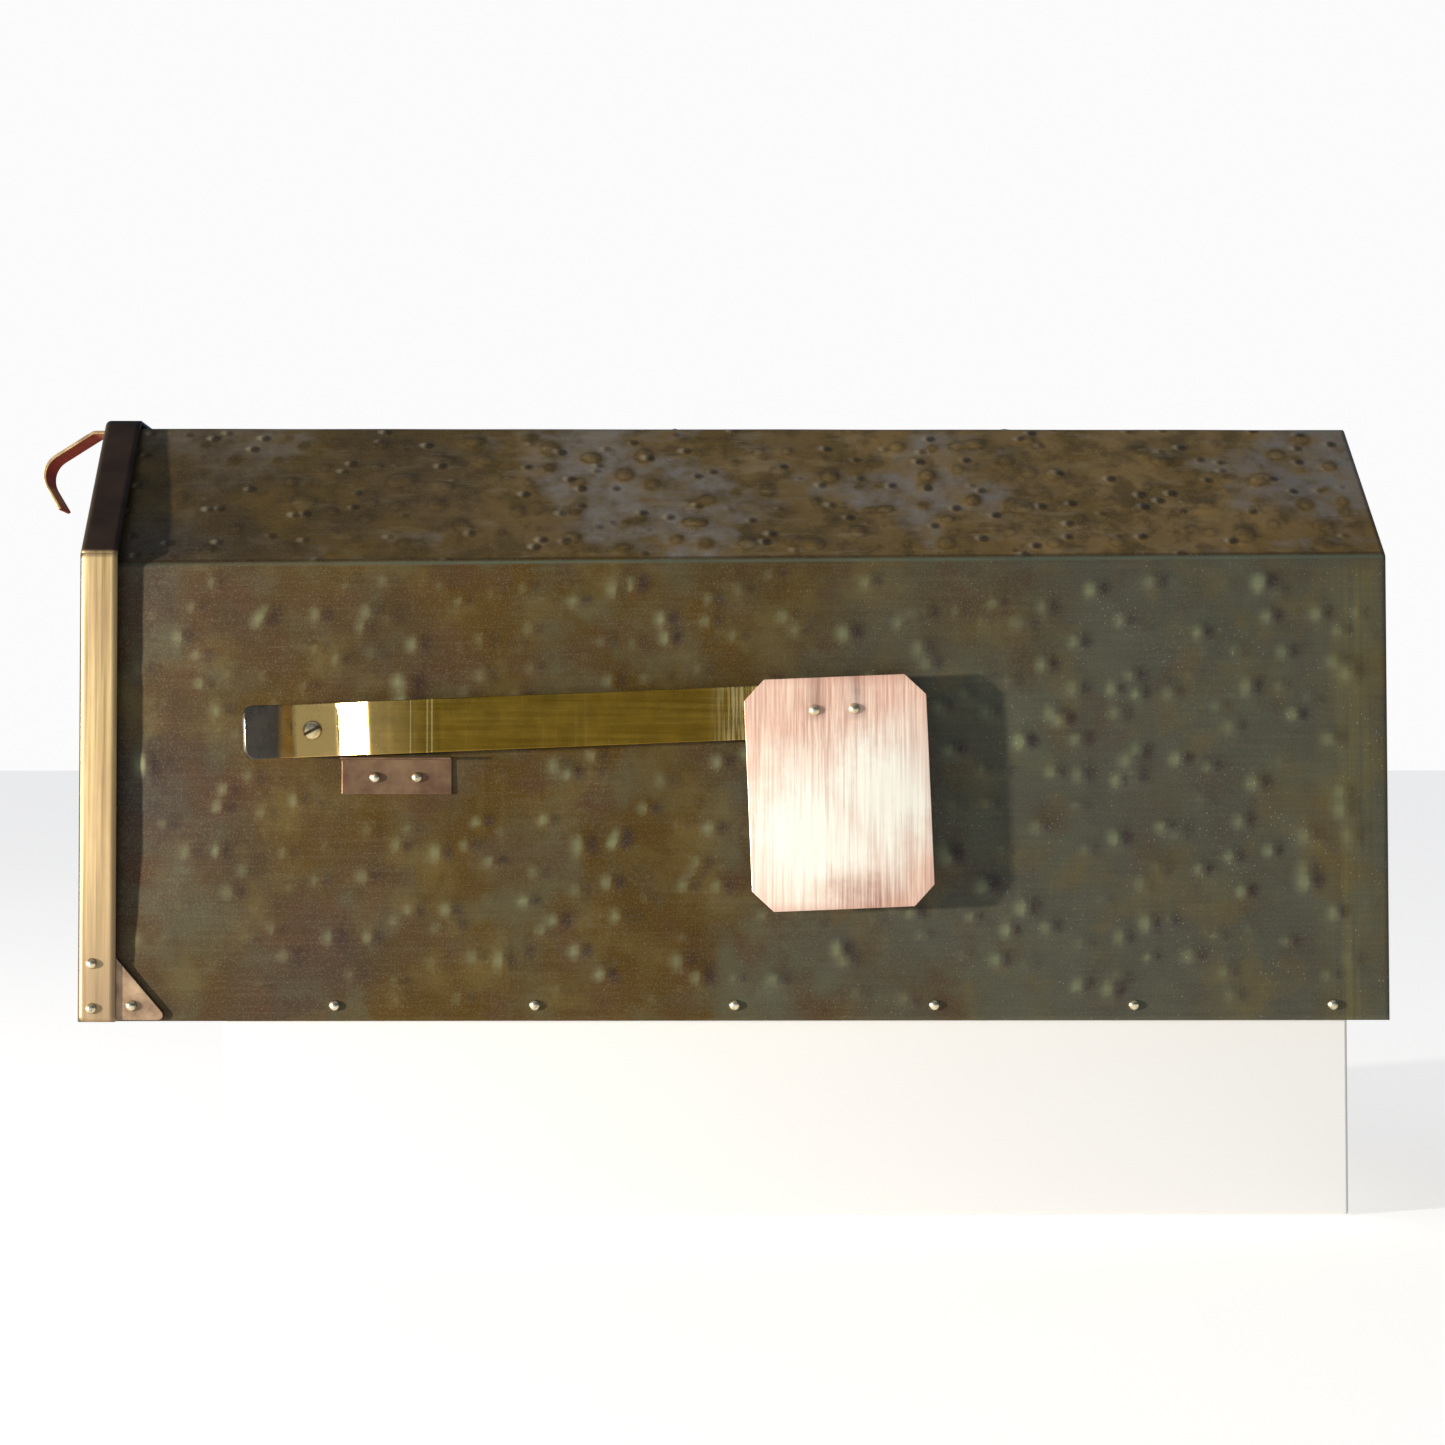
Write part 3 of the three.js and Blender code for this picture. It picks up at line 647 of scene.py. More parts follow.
def build_rivet(node):
    """A set rivet: a dome worked down by hand, so each one leans and flattens its own way."""
    rng = np.random.default_rng(sum(map(ord, node)))
    direction = Vector(rivet_direction(node))
    low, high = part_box(node)
    length = abs((high - low).dot(direction))
    head, rise, tail_rise = 2.1 * MM, 1.8 * MM, 1.1 * MM
    bucked = not node.startswith("ear_rivet")
    grip = length - rise - (tail_rise if bucked else 0)
    dome = []
    for i in range(9):
        a = math.pi / 2 * i / 8
        dome.append((head * math.cos(a) ** 0.85 if i < 8 else 0, rise * (0.08 + 0.92 * math.sin(a))))
    tail = []
    if bucked:
        button = 1.9 * MM
        for i in range(6):
            a = math.pi / 2 * i / 5
            tail.append((button * math.sin(a), -grip - tail_rise * math.cos(a) ** 0.7))
        tail[-1] = (button, -grip)
    else:
        tail = [(0, -grip), (1.2 * MM, -grip)]
    profile = tail + [(1.2 * MM, -grip), (1.2 * MM, 0), (head * 0.96, 0)] + dome
    piece = turned(node + "_set", profile, 28)
    lean = rng.normal(0, 0.05, 2)
    flat_angle = rng.uniform(0, 2 * math.pi)
    for vertex in piece.data.vertices:
        x, y, z = vertex.co
        if z > 0.1 * rise:
            vertex.co.z = z * (1 + lean[0] * x / head + lean[1] * y / head) - 0.02 * rise
            side = (x * math.cos(flat_angle) + y * math.sin(flat_angle)) / head
            vertex.co.z -= 0.12 * rise * max(0, side - 0.1)
    seat = (low + high) / 2
    seat += direction * (length / 2 - rise)
    piece.data.transform(Matrix.Translation(seat) @ facing(direction))
    return piece


def build_screw():
    """The slotted pan-head screw that the flag turns on."""
    low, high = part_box("flag_pivot_screw")
    head, rise, shank = 3.6 * MM, 2.6 * MM, 2 * MM
    length = high.y - low.y
    crown = []
    for i in range(10):
        a = math.pi / 2 * i / 9
        r = 0.42 * head * math.cos(a) + 0.58 * head * (1 - i / 9) ** 0.5 if i < 9 else 0
        crown.append((r, rise * (0.5 + 0.5 * math.sin(a))))
    threads = []
    pitch, root = 0.7 * MM, shank * 0.86
    end = -(length - rise)
    for k in range(int(12 * MM / pitch)):
        z = end + 0.6 * MM + k * pitch
        threads += [(root, z), (shank, z + 0.3 * pitch), (shank, z + 0.5 * pitch), (root, z + 0.9 * pitch)]
    threads = [p for p in threads if p[1] < -4.5 * MM]
    plain = [(shank, -4.2 * MM), (shank, 0), (head, 0), (head, rise * 0.5)]
    profile = [(0, end), (shank * 0.8, end)] + threads + plain
    piece = turned("slotted_screw", profile + crown[1:], 40)
    turn = Matrix.Translation((0, 0, rise)) @ Matrix.Rotation(math.radians(28), 4, "Z")
    cutter = block_object("slot_cutter", turn @ Matrix.Diagonal((3 * head, 1.2 * MM, 3.2 * MM, 1)))
    cut = piece.modifiers.new("slot", "BOOLEAN")
    cut.object = cutter
    cut.operation = "DIFFERENCE"
    bpy.context.view_layer.update()
    evaluated = piece.evaluated_get(bpy.context.evaluated_depsgraph_get())
    finished = bpy.data.meshes.new_from_object(evaluated)
    piece.modifiers.clear()
    piece.data = finished
    bpy.data.objects.remove(cutter)
    finished.set_sharp_from_angle(angle=math.radians(35))
    middle = centre("flag_pivot_screw")
    seat = Vector((middle.x, low.y + rise, middle.z))
    finished.transform(Matrix.Translation(seat) @ facing((0, -1, 0)))
    return round_edges(piece, 0.12 * MM, segments=2, angle=50)


def ring_object(name, node, sections, sharp):
    """A ring about the node's middle from (radius, height) pairs, one closed section at each angle."""
    points = []
    for i, section in enumerate(sections):
        a = 2 * math.pi * i / len(sections)
        points += [(r * math.cos(a), h, r * math.sin(a)) for r, h in section]
    loops = grid_faces(len(sections), len(sections[0]), close_columns=True, close_rows=True)
    piece = mesh_object(name, points, [(a, d, c, b) for a, b, c, d in loops])
    piece.data.set_sharp_from_angle(angle=math.radians(sharp))
    middle = centre(node)
    piece.data.transform(Matrix.Translation((middle.x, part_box(node)[0].y, middle.z)))
    return piece


def build_ring(node, hole):
    """A washer or spacer with broken edges."""
    low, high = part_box(node)
    outer = (high.x - low.x) / 2
    thick = high.y - low.y
    edge = min(0.18 * MM, thick / 4)
    section = [
        (hole, edge), (hole + edge, 0), (outer - edge, 0), (outer, edge),
        (outer, thick - edge), (outer - edge, thick), (hole + edge, thick), (hole, thick - edge),
    ]
    return ring_object(node + "_turned", node, [section] * 48, 30)


def build_nut():
    """A hexagon lock nut with a chamfered face and the collar of its locking ring."""
    low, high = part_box("flag_lock_nut")
    corner, thick, bore = (high.x - low.x) / 2, high.y - low.y, SCREW_HOLE
    flat = corner * math.sqrt(3) / 2
    collar = 0.28 * thick
    segments = 60
    sections = []
    for i in range(segments):
        from_flat = 2 * math.pi * i / segments % (math.pi / 3) - math.pi / 6
        hexagon = flat / math.cos(from_flat)
        sections.append([
            (bore, 0), (flat * 0.97, 0), (hexagon, 0.35 * MM), (hexagon, thick - collar),
            (flat * 0.93, thick - collar * 0.9), (flat * 0.9, thick - 0.3 * MM),
            (flat * 0.8, thick), (bore * 1.1, thick), (bore, thick - 0.4 * MM),
        ])
    return ring_object("hex_lock_nut", "flag_lock_nut", sections, 28)


# ---- Materials ----


class Graph:
    """A material's node graph, with short calls for the nodes that these metals use."""

    def __init__(self, name):
        self.material = bpy.data.materials.new(name)
        self.material.use_nodes = True
        self.tree = self.material.node_tree
        self.shader = self.tree.nodes["Principled BSDF"]
        self.coords = self.add("TexCoord")
        self.place = self.coords.outputs["Object"]

    def add(self, kind, **values):
        node = self.tree.nodes.new("ShaderNode" + kind)
        for key, value in values.items():
            setattr(node, key, value)
        return node

    def feed(self, socket, value):
        if isinstance(value, bpy.types.NodeSocket):
            self.tree.links.new(value, socket)
        else:
            socket.default_value = value

    def fed(self, node, **inputs):
        """Feeds a node's inputs, whose names are written with _ for a space, and returns the node."""
        for name, value in inputs.items():
            self.feed(node.inputs[name.replace("_", " ")], value)
        return node

    def scaled(self, scale, offset):
        node = self.add("Mapping")
        return self.fed(node, Vector=self.place, Scale=scale, Location=offset).outputs["Vector"]

    def noise(self, scale, detail=4, rough=0.55, stretch=(1, 1, 1), offset=(0, 0, 0), distortion=0):
        node = self.fed(self.add("TexNoise"), Vector=self.scaled(stretch, offset), Scale=scale)
        return self.fed(node, Detail=detail, Roughness=rough, Distortion=distortion).outputs["Fac"]

    def patch(self, low, high, *noise, **more):
        """Soft patches where a noise rises from low to high."""
        return self.map(self.noise(*noise, **more), low, high)

    def spots(self, scale, offset=(0, 0, 0)):
        node = self.add("TexVoronoi")
        return self.fed(node, Vector=self.scaled((1, 1, 1), offset), Scale=scale).outputs["Distance"]

    def map(self, value, low, high, to_low=0.0, to_high=1.0):
        node = self.fed(self.add("MapRange"), Value=value, From_Min=low, From_Max=high)
        return self.fed(node, To_Min=to_low, To_Max=to_high).outputs["Result"]

    def math(self, operation, a, b=0.0):
        node = self.add("Math", operation=operation)
        self.feed(node.inputs[0], a)
        self.feed(node.inputs[1], b)
        return node.outputs[0]

    def times(self, a, b):
        return self.math("MULTIPLY", a, b)

    def mix(self, factor, a, b):
        node = self.add("Mix", data_type="RGBA")
        self.feed(node.inputs["Factor"], factor)
        for socket, value in (("A", a), ("B", b)):
            target = [s for s in node.inputs if s.name == socket and s.type == "RGBA"][0]
            self.feed(target, value if isinstance(value, bpy.types.NodeSocket) else (*value, 1))
        return [s for s in node.outputs if s.type == "RGBA"][0]

    def layer(self, mask, target):
        """Takes the colour that the graph keeps towards target by the mask."""
        self.colour = self.mix(mask, self.colour, target)

    def tint(self, mask, strength, target):
        self.layer(self.times(mask, strength), target)

    def axis(self, name):
        node = self.add("SeparateXYZ")
        self.feed(node.inputs[0], self.place)
        return node.outputs[name]

    def dot(self, vector, direction):
        node = self.add("VectorMath", operation="DOT_PRODUCT")
        self.feed(node.inputs[0], vector)
        node.inputs[1].default_value = direction
        return node.outputs["Value"]

    def attribute(self, name):
        return self.add("Attribute", attribute_name=name).outputs["Fac"]

    def band(self, value, middle, width):
        """1 at the middle of a band of the value, falling to 0 at its edges."""
        away = self.math("ABSOLUTE", self.math("SUBTRACT", value, middle))
        return self.map(away, 0.0, width, 1.0, 0.0)

    def finish(self, roughness, bumps=(), metallic=1.0):
        """bumps are (height, strength, distance in mm) from the coarsest to the finest."""
        self.feed(self.shader.inputs["Base Color"], self.colour)
        self.feed(self.shader.inputs["Roughness"], roughness)
        self.shader.inputs["Metallic"].default_value = metallic
        normal = None
        for height, strength, distance in bumps:
            node = self.fed(self.add("Bump"), Height=height, Strength=strength, Distance=distance * MM)
            if normal:
                self.feed(node.inputs["Normal"], normal)
            normal = node.outputs["Normal"]
        if normal:
            self.feed(self.shader.inputs["Normal"], normal)
        return self.material


def patinated_brass(name="patinated_brass"):
    """Dark olive-brown patina: rosier near the door, dustier to the back, browner on the roof. Painted light on
    it: painted highlight and shade on the hammer marks' flanks, a painted grey sheen and painted glints on the
    roof, and a painted highlight and shade along the eave fold.
    """
    g = Graph(name)
    x, z = g.axis("X"), g.axis("Z")
    wander = g.map(g.noise(9, 3), 0.3, 0.7, -0.09, 0.09)
    along = g.math("ADD", x, wander)
    front, middle, back = (0.042, 0.029, 0.022), (0.068, 0.036, 0.002), (0.065, 0.064, 0.045)
    g.colour = g.mix(g.map(along, -0.26, -0.14), front, middle)
    g.layer(g.map(along, -0.04, 0.1), back)
    verdigris = g.patch(0.47, 0.66, 34, 5, 0.6, distortion=0.3)
    g.tint(verdigris, 0.45, (0.086, 0.092, 0.055))
    gold = g.patch(0.5, 0.68, 29, 5, 0.6, offset=(7, 2, 5))
    g.tint(gold, 0.6, (0.125, 0.09, 0.024))
    rust = g.patch(0.5, 0.7, 41, 4, 0.6, offset=(3, 1, 2))
    rust = g.times(rust, g.map(along, 0.0, 0.14, 0.85, 0.35))
    g.layer(rust, (0.062, 0.028, 0.01))
    # Painted highlight and shade on the hammer marks: flanks that face the door are painted pale green-gold,
    # flanks that face the back dark purple-brown.
    lee = g.attribute("lee")
    painted_flank_strength = g.map(along, -0.2, 0.02, 0.6, 0.65)
    g.tint(g.map(lee, 0.44, 0.12), painted_flank_strength, (0.15, 0.165, 0.085))
    g.tint(g.map(lee, 0.56, 0.88), painted_flank_strength, (0.032, 0.016, 0.02))

    eave = g.map(x, shell_low.x, shell_high.x, EAVE_FRONT, EAVE_BACK)
    above = g.math("SUBTRACT", z, eave)
    roof = g.map(above, 0.2 * MM, 1.4 * MM)
    wall_colour = g.colour
    g.colour = g.mix(g.map(along, -0.25, 0.1), (0.034, 0.022, 0.01), (0.225, 0.142, 0.05))
    ochre = g.patch(0.45, 0.65, 37, 5, 0.6, offset=(5, 0, 0))
    g.tint(ochre, 0.7, (0.125, 0.076, 0.014))
    umber = g.patch(0.45, 0.6, 90, 5, 0.65, offset=(8, 3, 0))
    g.tint(umber, 0.6, (0.052, 0.033, 0.01))
    wisp = g.patch(0.54, 0.68, 150, 4, 0.6, stretch=(0.3, 1, 1), offset=(3, 3, 3))
    g.tint(wisp, g.map(along, -0.22, 0.0, 0.1, 0.45), (0.26, 0.2, 0.11))
    # Painted reflection: grey sheen patches on the roof that stop at the bumps, standing in for the reflection of
    # a bright sky.
    painted_sheen = g.patch(0.5, 0.57, 15, 5, 0.62, offset=(1, 7, 0), stretch=(0.7, 1, 1))
    painted_sheen = g.times(painted_sheen, g.map(g.noise(120, 5, 0.7, offset=(2, 2, 9)), 0.35, 0.6, 0.25, 1.0))
    raised = g.attribute("relief")
    clear = g.map(raised, 0.06, 0.3, 1, 0)
    painted_sheen_where = g.times(g.times(painted_sheen, clear), g.map(along, -0.2, -0.08, 0.15, 0.9))
    g.layer(painted_sheen_where, (0.215, 0.19, 0.16))
    # Painted highlight and shade at the roof's small pecks: a pale glint on the door side of each and dark paint
    # in the peck itself, whose mask also gives the pecks' bump below.
    pit = g.map(g.spots(92, offset=(-2.2 * MM, 0, 0.8 * MM)), 0.1, 0.24, 1, 0)
    painted_glint = g.map(g.spots(92), 0.06, 0.2, 1, 0)
    g.tint(painted_glint, 0.7, (0.33, 0.27, 0.17))
    g.tint(pit, 0.8, (0.02, 0.011, 0.004))
    near_peak = g.band(raised, 0.42, 0.25)
    g.tint(near_peak, 0.35, (0.026, 0.015, 0.004))
    g.colour = g.mix(roof, wall_colour, g.colour)
    # Painted highlight along the eave fold, and painted shade in a dark band just above it.
    painted_fold_highlight = g.times(g.band(above, -0.3 * MM, 1.1 * MM), g.map(x, -0.24, -0.1, 0.15, 0.8))
    g.layer(painted_fold_highlight, (0.105, 0.135, 0.09))
    g.tint(g.band(above, 1.1 * MM, 0.9 * MM), 0.7, (0.03, 0.017, 0.003))
    streak = g.patch(0.42, 0.62, 220, 3, 0.6, stretch=(1, 1, 0.03))
    rear_worn = g.times(g.band(x, 0.24, 0.016), g.map(streak, 0, 1, 0.1, 0.75))
    front_spot = g.times(g.band(x, -0.095, 0.006), g.band(z, 0.078, 0.03))
    front_worn = g.times(front_spot, streak)
    worn = g.times(g.math("MAXIMUM", rear_worn, front_worn), g.map(above, 0, -6 * MM))
    g.tint(worn, 0.6, (0.17, 0.14, 0.035))
    speck = g.map(g.spots(520), 0.0, 0.16, 1.0, 0.0)
    speck_where = g.times(g.patch(0.5, 0.6, 60, 2), g.map(x, -0.15, 0.2, 0.25, 1.0))
    dust = g.times(speck, speck_where)
    g.tint(dust, 0.85, (0.42, 0.42, 0.36))
    grain = g.noise(1400, 3, 0.75)
    g.layer(g.map(grain, 0.5, 0.75, 0, 0.5), (0.17, 0.145, 0.09))
    drawn = g.noise(750, 3, 0.6, stretch=(0.04, 1, 1), offset=(6, 0, 0))
    g.layer(g.map(drawn, 0.5, 0.7, 0, 0.1), (0.15, 0.13, 0.085))
    g.layer(g.map(drawn, 0.5, 0.3, 0, 0.1), (0.028, 0.02, 0.014))
    rough = g.map(g.noise(33, 5, 0.6, offset=(0, 4, 4)), 0.3, 0.7, 0.4, 0.54)
    rough = g.math("ADD", rough, g.map(along, -0.22, -0.1, 0.08, 0))
    rough = g.math("SUBTRACT", rough, g.times(roof, 0.16))
    pecks = g.times(pit, roof)
    bumps = [(pecks, 0.5, 0.5), (g.noise(160, 4), 0.15, 0.4), (grain, 0.2, 0.12)]
    g.shader.inputs["Specular IOR Level"].default_value = 0.3
    return g.finish(rough, bumps, metallic=0.55)


def rim_brass():
    """The door: pale brass brushed up and down its side rims, with a painted dark reflection in purple-brown on
    the slopes.
    """
    g = Graph("rim_brass")
    x, z = g.axis("X"), g.axis("Z")
    brush = g.noise(420, 4, 0.65, stretch=(1, 1, 0.02))
    streak = g.map(brush, 0.35, 0.65)
    g.colour = g.mix(streak, (0.34, 0.235, 0.1), (0.64, 0.48, 0.25))
    stain = g.patch(0.5, 0.7, 38, 5, 0.6, stretch=(1, 1, 0.5))
    g.tint(stain, 0.45, (0.4, 0.25, 0.15))
    dark_side = g.map(x, door_low.x + 10.5 * MM, door_low.x + 14.5 * MM)
    g.tint(dark_side, 0.6, (0.34, 0.23, 0.09))
    low = g.map(z, 0.075, 0.01)
    g.tint(low, 0.65, (0.28, 0.19, 0.125))
    # Painted reflection: the slope rims, the same brass as the sides, are painted dark purple-brown as if
    # reflecting a dark sky.
    slope = g.map(z, EAVE_CAD + 0.5 * MM, EAVE_CAD + 2.5 * MM)
    dark = g.mix(g.patch(0.35, 0.7, 50, 4), (0.028, 0.016, 0.012), (0.055, 0.034, 0.022))
    g.layer(slope, dark)
    face = g.map(x, door_low.x + 2.5 * MM, door_low.x + 0.5 * MM)
    rim_colour = g.colour
    mottle = g.patch(0.38, 0.66, 28, 5, 0.6, distortion=0.4)
    g.colour = g.mix(mottle, (0.06, 0.042, 0.022), (0.105, 0.076, 0.034))
    worn = g.map(g.attribute("relief"), 0.3, 0.9)
    g.tint(worn, 0.4, (0.16, 0.14, 0.08))
    hollow = g.band(g.attribute("relief"), 0.2, 0.2)
    g.tint(hollow, 0.4, (0.05, 0.03, 0.02))
    g.colour = g.mix(face, rim_colour, g.colour)
    rough = g.map(brush, 0.3, 0.7, 0.44, 0.58)
    return g.finish(rough, [(brush, 0.3, 0.12), (g.noise(150, 3), 0.08, 0.4)], metallic=0.85)


def brown_copper(name, dark, light):
    """Ears and stop: rosy brown tarnish with a few brighter rubs."""
    g = Graph(name)
    brush = g.noise(500, 4, 0.6, stretch=(0.05, 1, 1))
    g.colour = g.mix(g.patch(0.35, 0.65, 90, 5, 0.6), dark, light)
    spot = g.patch(0.58, 0.72, 240, 3, 0.6, offset=(4, 2, 0))
    g.tint(spot, 0.5, (0.1, 0.055, 0.035))
    rough = g.map(brush, 0.3, 0.7, 0.42, 0.56)
    return g.finish(rough, [(brush, 0.25, 0.1), (g.noise(120, 3), 0.1, 0.4)], metallic=0.75)


def yellow_brass():
    """The arm: polished strip, drawn lengthwise, with cross scratches and a bloom of handling marks, a painted
    highlight round the pivot and a painted grey-blue reflection on the thumb tab.
    """
    g = Graph("yellow_brass")
    x = g.axis("X")
    drawn = g.noise(520, 4, 0.6, stretch=(0.03, 1, 1))
    g.colour = g.mix(g.map(drawn, 0.35, 0.65), (0.21, 0.12, 0.012), (0.3, 0.185, 0.024))
    bloom = g.patch(0.48, 0.7, 70, 5, 0.65)
    g.tint(bloom, 0.5, (0.17, 0.095, 0.01))
    # Painted highlight: the arm is painted pale round its pivot and ramp, where the bent strip catches the light.
    pale = g.map(x, -0.12, -0.15)
    g.tint(pale, 0.65, (0.8, 0.55, 0.2))
    # Painted reflection and shade: the thumb tab's end is painted grey-blue, as it faces away from the light.
    g.tint(g.map(x, -0.1745, -0.1765), 0.85, (0.13, 0.14, 0.14))
    for score, width in ((38.4, 0.35), (44.8, 0.45), (46.6, 0.35), (198.0, 0.3)):
        line = g.band(x, flag_pivot.x + score * MM, width * MM)
        g.tint(line, 0.7, (0.85, 0.68, 0.28))
    cross = g.patch(0.62, 0.72, 700, 2, 0.5, stretch=(1, 1, 0.03), offset=(2, 0, 0))
    cross = g.times(cross, 0.08)
    hatch = g.patch(0.42, 0.6, 1100, 3, 0.6, stretch=(1, 1, 0.04), offset=(4, 0, 0))
    cross = g.math("MAXIMUM", cross, g.times(hatch, g.map(x, -0.011, -0.001)))
    g.tint(cross, 0.6, (0.85, 0.68, 0.3))
    rough = g.map(g.noise(110, 4, 0.6), 0.3, 0.7, 0.2, 0.34)
    return g.finish(rough, [(g.noise(140, 3), 0.05, 0.3)])


def brushed_copper():
    """The flag: bright rose copper brushed up and down, with sooty smears near the rivets and painted near-white
    glare.
    """
    g = Graph("brushed_copper")
    brush = g.noise(1300, 4, 0.7, stretch=(1, 1, 0.016))
    coarse = g.noise(190, 3, 0.6, stretch=(1, 1, 0.03), offset=(3, 0, 1))
    tone = g.math("ADD", g.times(brush, 0.85), g.times(coarse, 0.15))
    g.colour = g.mix(g.map(tone, 0.4, 0.6), (0.74, 0.45, 0.33), (0.98, 0.74, 0.58))
    grime = g.patch(0.45, 0.65, 70, 4, 0.6, stretch=(1, 1, 0.35), offset=(0, 5, 2))
    g.tint(grime, 0.35, (0.7, 0.38, 0.27))
    x, z = g.axis("X"), g.axis("Z")
    smear = g.patch(0.3, 0.6, 300, 4, 0.6, stretch=(1, 1, 0.2))
    for name in ("front", "rear"):
        rivet = centre("flag_plate_rivet_" + name)
        above = g.times(
            g.band(x, rivet.x + 0.4 * MM, 4.5 * MM), g.map(z, rivet.z - 4 * MM, rivet.z + 3 * MM)
        )
        round_it = g.times(g.band(x, rivet.x + 0.6 * MM, 5 * MM), g.band(z, rivet.z, 5 * MM))
        soot = g.math("MAXIMUM", g.times(above, 0.6), round_it)
        soot = g.times(soot, g.map(smear, 0, 1, 0.5, 1.0))
        g.layer(soot, (0.22, 0.12, 0.1))
    low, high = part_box("flag_plate")
    # Painted highlight: two near-white glare patches, lower and upper, where the brushed plate would catch the key
    # light.
    wander = g.map(g.noise(40, 4, 0.6), 0.3, 0.7, -8 * MM, 8 * MM)
    across, up = g.math("ADD", x, wander), g.math("SUBTRACT", z, wander)
    lower = g.times(g.band(across, low.x + 24 * MM, 42 * MM), g.band(up, low.z + 28 * MM, 46 * MM))
    upper = g.times(g.band(across, high.x - 18 * MM, 36 * MM), g.band(up, low.z + 44 * MM, 44 * MM))
    painted_glare = g.times(g.math("MAXIMUM", lower, upper), g.map(tone, 0.35, 0.6, 0.75, 1.3))
    g.layer(g.map(painted_glare, 0.05, 0.75, 0, 0.95), (1.0, 0.97, 0.84))
    foot = g.times(g.band(across, low.x + 50 * MM, 15 * MM), g.map(up, low.z + 22 * MM, low.z + 4 * MM))
    g.tint(foot, g.map(tone, 0.4, 0.6, 0.9, 0.3), (0.42, 0.21, 0.16))
    sides = g.math("MAXIMUM", g.map(x, low.x + 2 * MM, low.x), g.map(x, high.x - 3 * MM, high.x))
    ends = g.math("MAXIMUM", g.map(z, low.z + 4 * MM, low.z), g.map(z, high.z - 5 * MM, high.z))
    g.tint(g.math("MAXIMUM", sides, ends), 0.45, (0.62, 0.3, 0.22))
    rough = g.map(brush, 0.3, 0.7, 0.5, 0.62)
    return g.finish(rough, [(brush, 0.35, 0.08)], metallic=0.9)


def handle_brass():
    """The pull: worn cream-gold where hands polish it, with painted red-brown shade on the inner side of the hook.
    """
    g = Graph("handle_brass")
    g.colour = g.mix(g.patch(0.35, 0.65, 120, 5, 0.6), (0.42, 0.27, 0.13), (0.7, 0.5, 0.27))
    drawn = g.noise(600, 3, 0.6, stretch=(1, 0.05, 1))
    rub = g.patch(0.5, 0.68, 60, 3, 0.5, offset=(1, 1, 1))
    g.tint(rub, 0.5, (0.36, 0.18, 0.09))
    # Painted shade: faces that turn towards the door and down, away from the key light, are painted dark
    # red-brown.
    inwards = g.dot(g.coords.outputs["Normal"], (0.85, 0, -0.5))
    g.layer(g.map(inwards, 0.3, 0.6, 0.0, 0.9), (0.24, 0.055, 0.028))
    g.shader.inputs["Specular Tint"].default_value = (0.5, 0.2, 0.12, 1)
    return g.finish(g.map(drawn, 0.3, 0.7, 0.34, 0.48), [(drawn, 0.18, 0.08)], metallic=0.9)


def rivet_brass():
    g = Graph("rivet_brass")
    g.colour = g.mix(g.patch(0.35, 0.65, 400, 4, 0.6), (0.52, 0.44, 0.27), (0.8, 0.73, 0.53))
    grime = g.patch(0.55, 0.7, 800, 3, 0.6, offset=(2, 2, 2))
    g.tint(grime, 0.6, (0.16, 0.11, 0.07))
    return g.finish(g.map(g.noise(500, 3), 0.3, 0.7, 0.24, 0.42), [(g.noise(700, 3), 0.25, 0.12)])


def screw_brass():
    """The screw: worn gold head, with painted shade in its slot."""
    g = Graph("screw_brass")
    head_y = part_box("flag_pivot_screw")[0].y
    g.colour = g.mix(g.patch(0.35, 0.65, 500, 4, 0.6), (0.5, 0.36, 0.16), (0.84, 0.7, 0.42))
    # Painted shade: everything deeper than about 1 mm below the head's top, the slot's walls and floor, is painted
    # near-black.
    painted_slot_shade = g.map(g.axis("Y"), head_y + 0.9 * MM, head_y + 1.3 * MM)
    g.tint(painted_slot_shade, 0.9, (0.05, 0.03, 0.015))
    return g.finish(g.map(g.noise(500, 3), 0.3, 0.7, 0.25, 0.45), [(g.noise(700, 3), 0.2, 0.1)])


def plated_steel():
    g = Graph("plated_steel")
    spangle = g.spots(300)
    g.colour = g.mix(g.map(spangle, 0.1, 0.7), (0.52, 0.53, 0.54), (0.66, 0.67, 0.67))
    g.tint(g.patch(0.5, 0.7, 90, 4), 0.35, (0.38, 0.36, 0.31))
    return g.finish(g.map(g.noise(200, 4), 0.3, 0.7, 0.26, 0.44), [(g.noise(600, 3), 0.12, 0.1)])


def magnet_black():
    g = Graph("magnet_black")
    g.colour = g.mix(g.patch(0.35, 0.65, 350, 4), (0.045, 0.045, 0.05), (0.09, 0.088, 0.085))
    rough = g.map(g.noise(500, 3), 0.3, 0.7, 0.5, 0.7)
    return g.finish(rough, [(g.noise(900, 4), 0.3, 0.1)], metallic=0.3)


# ---- Assembly ----


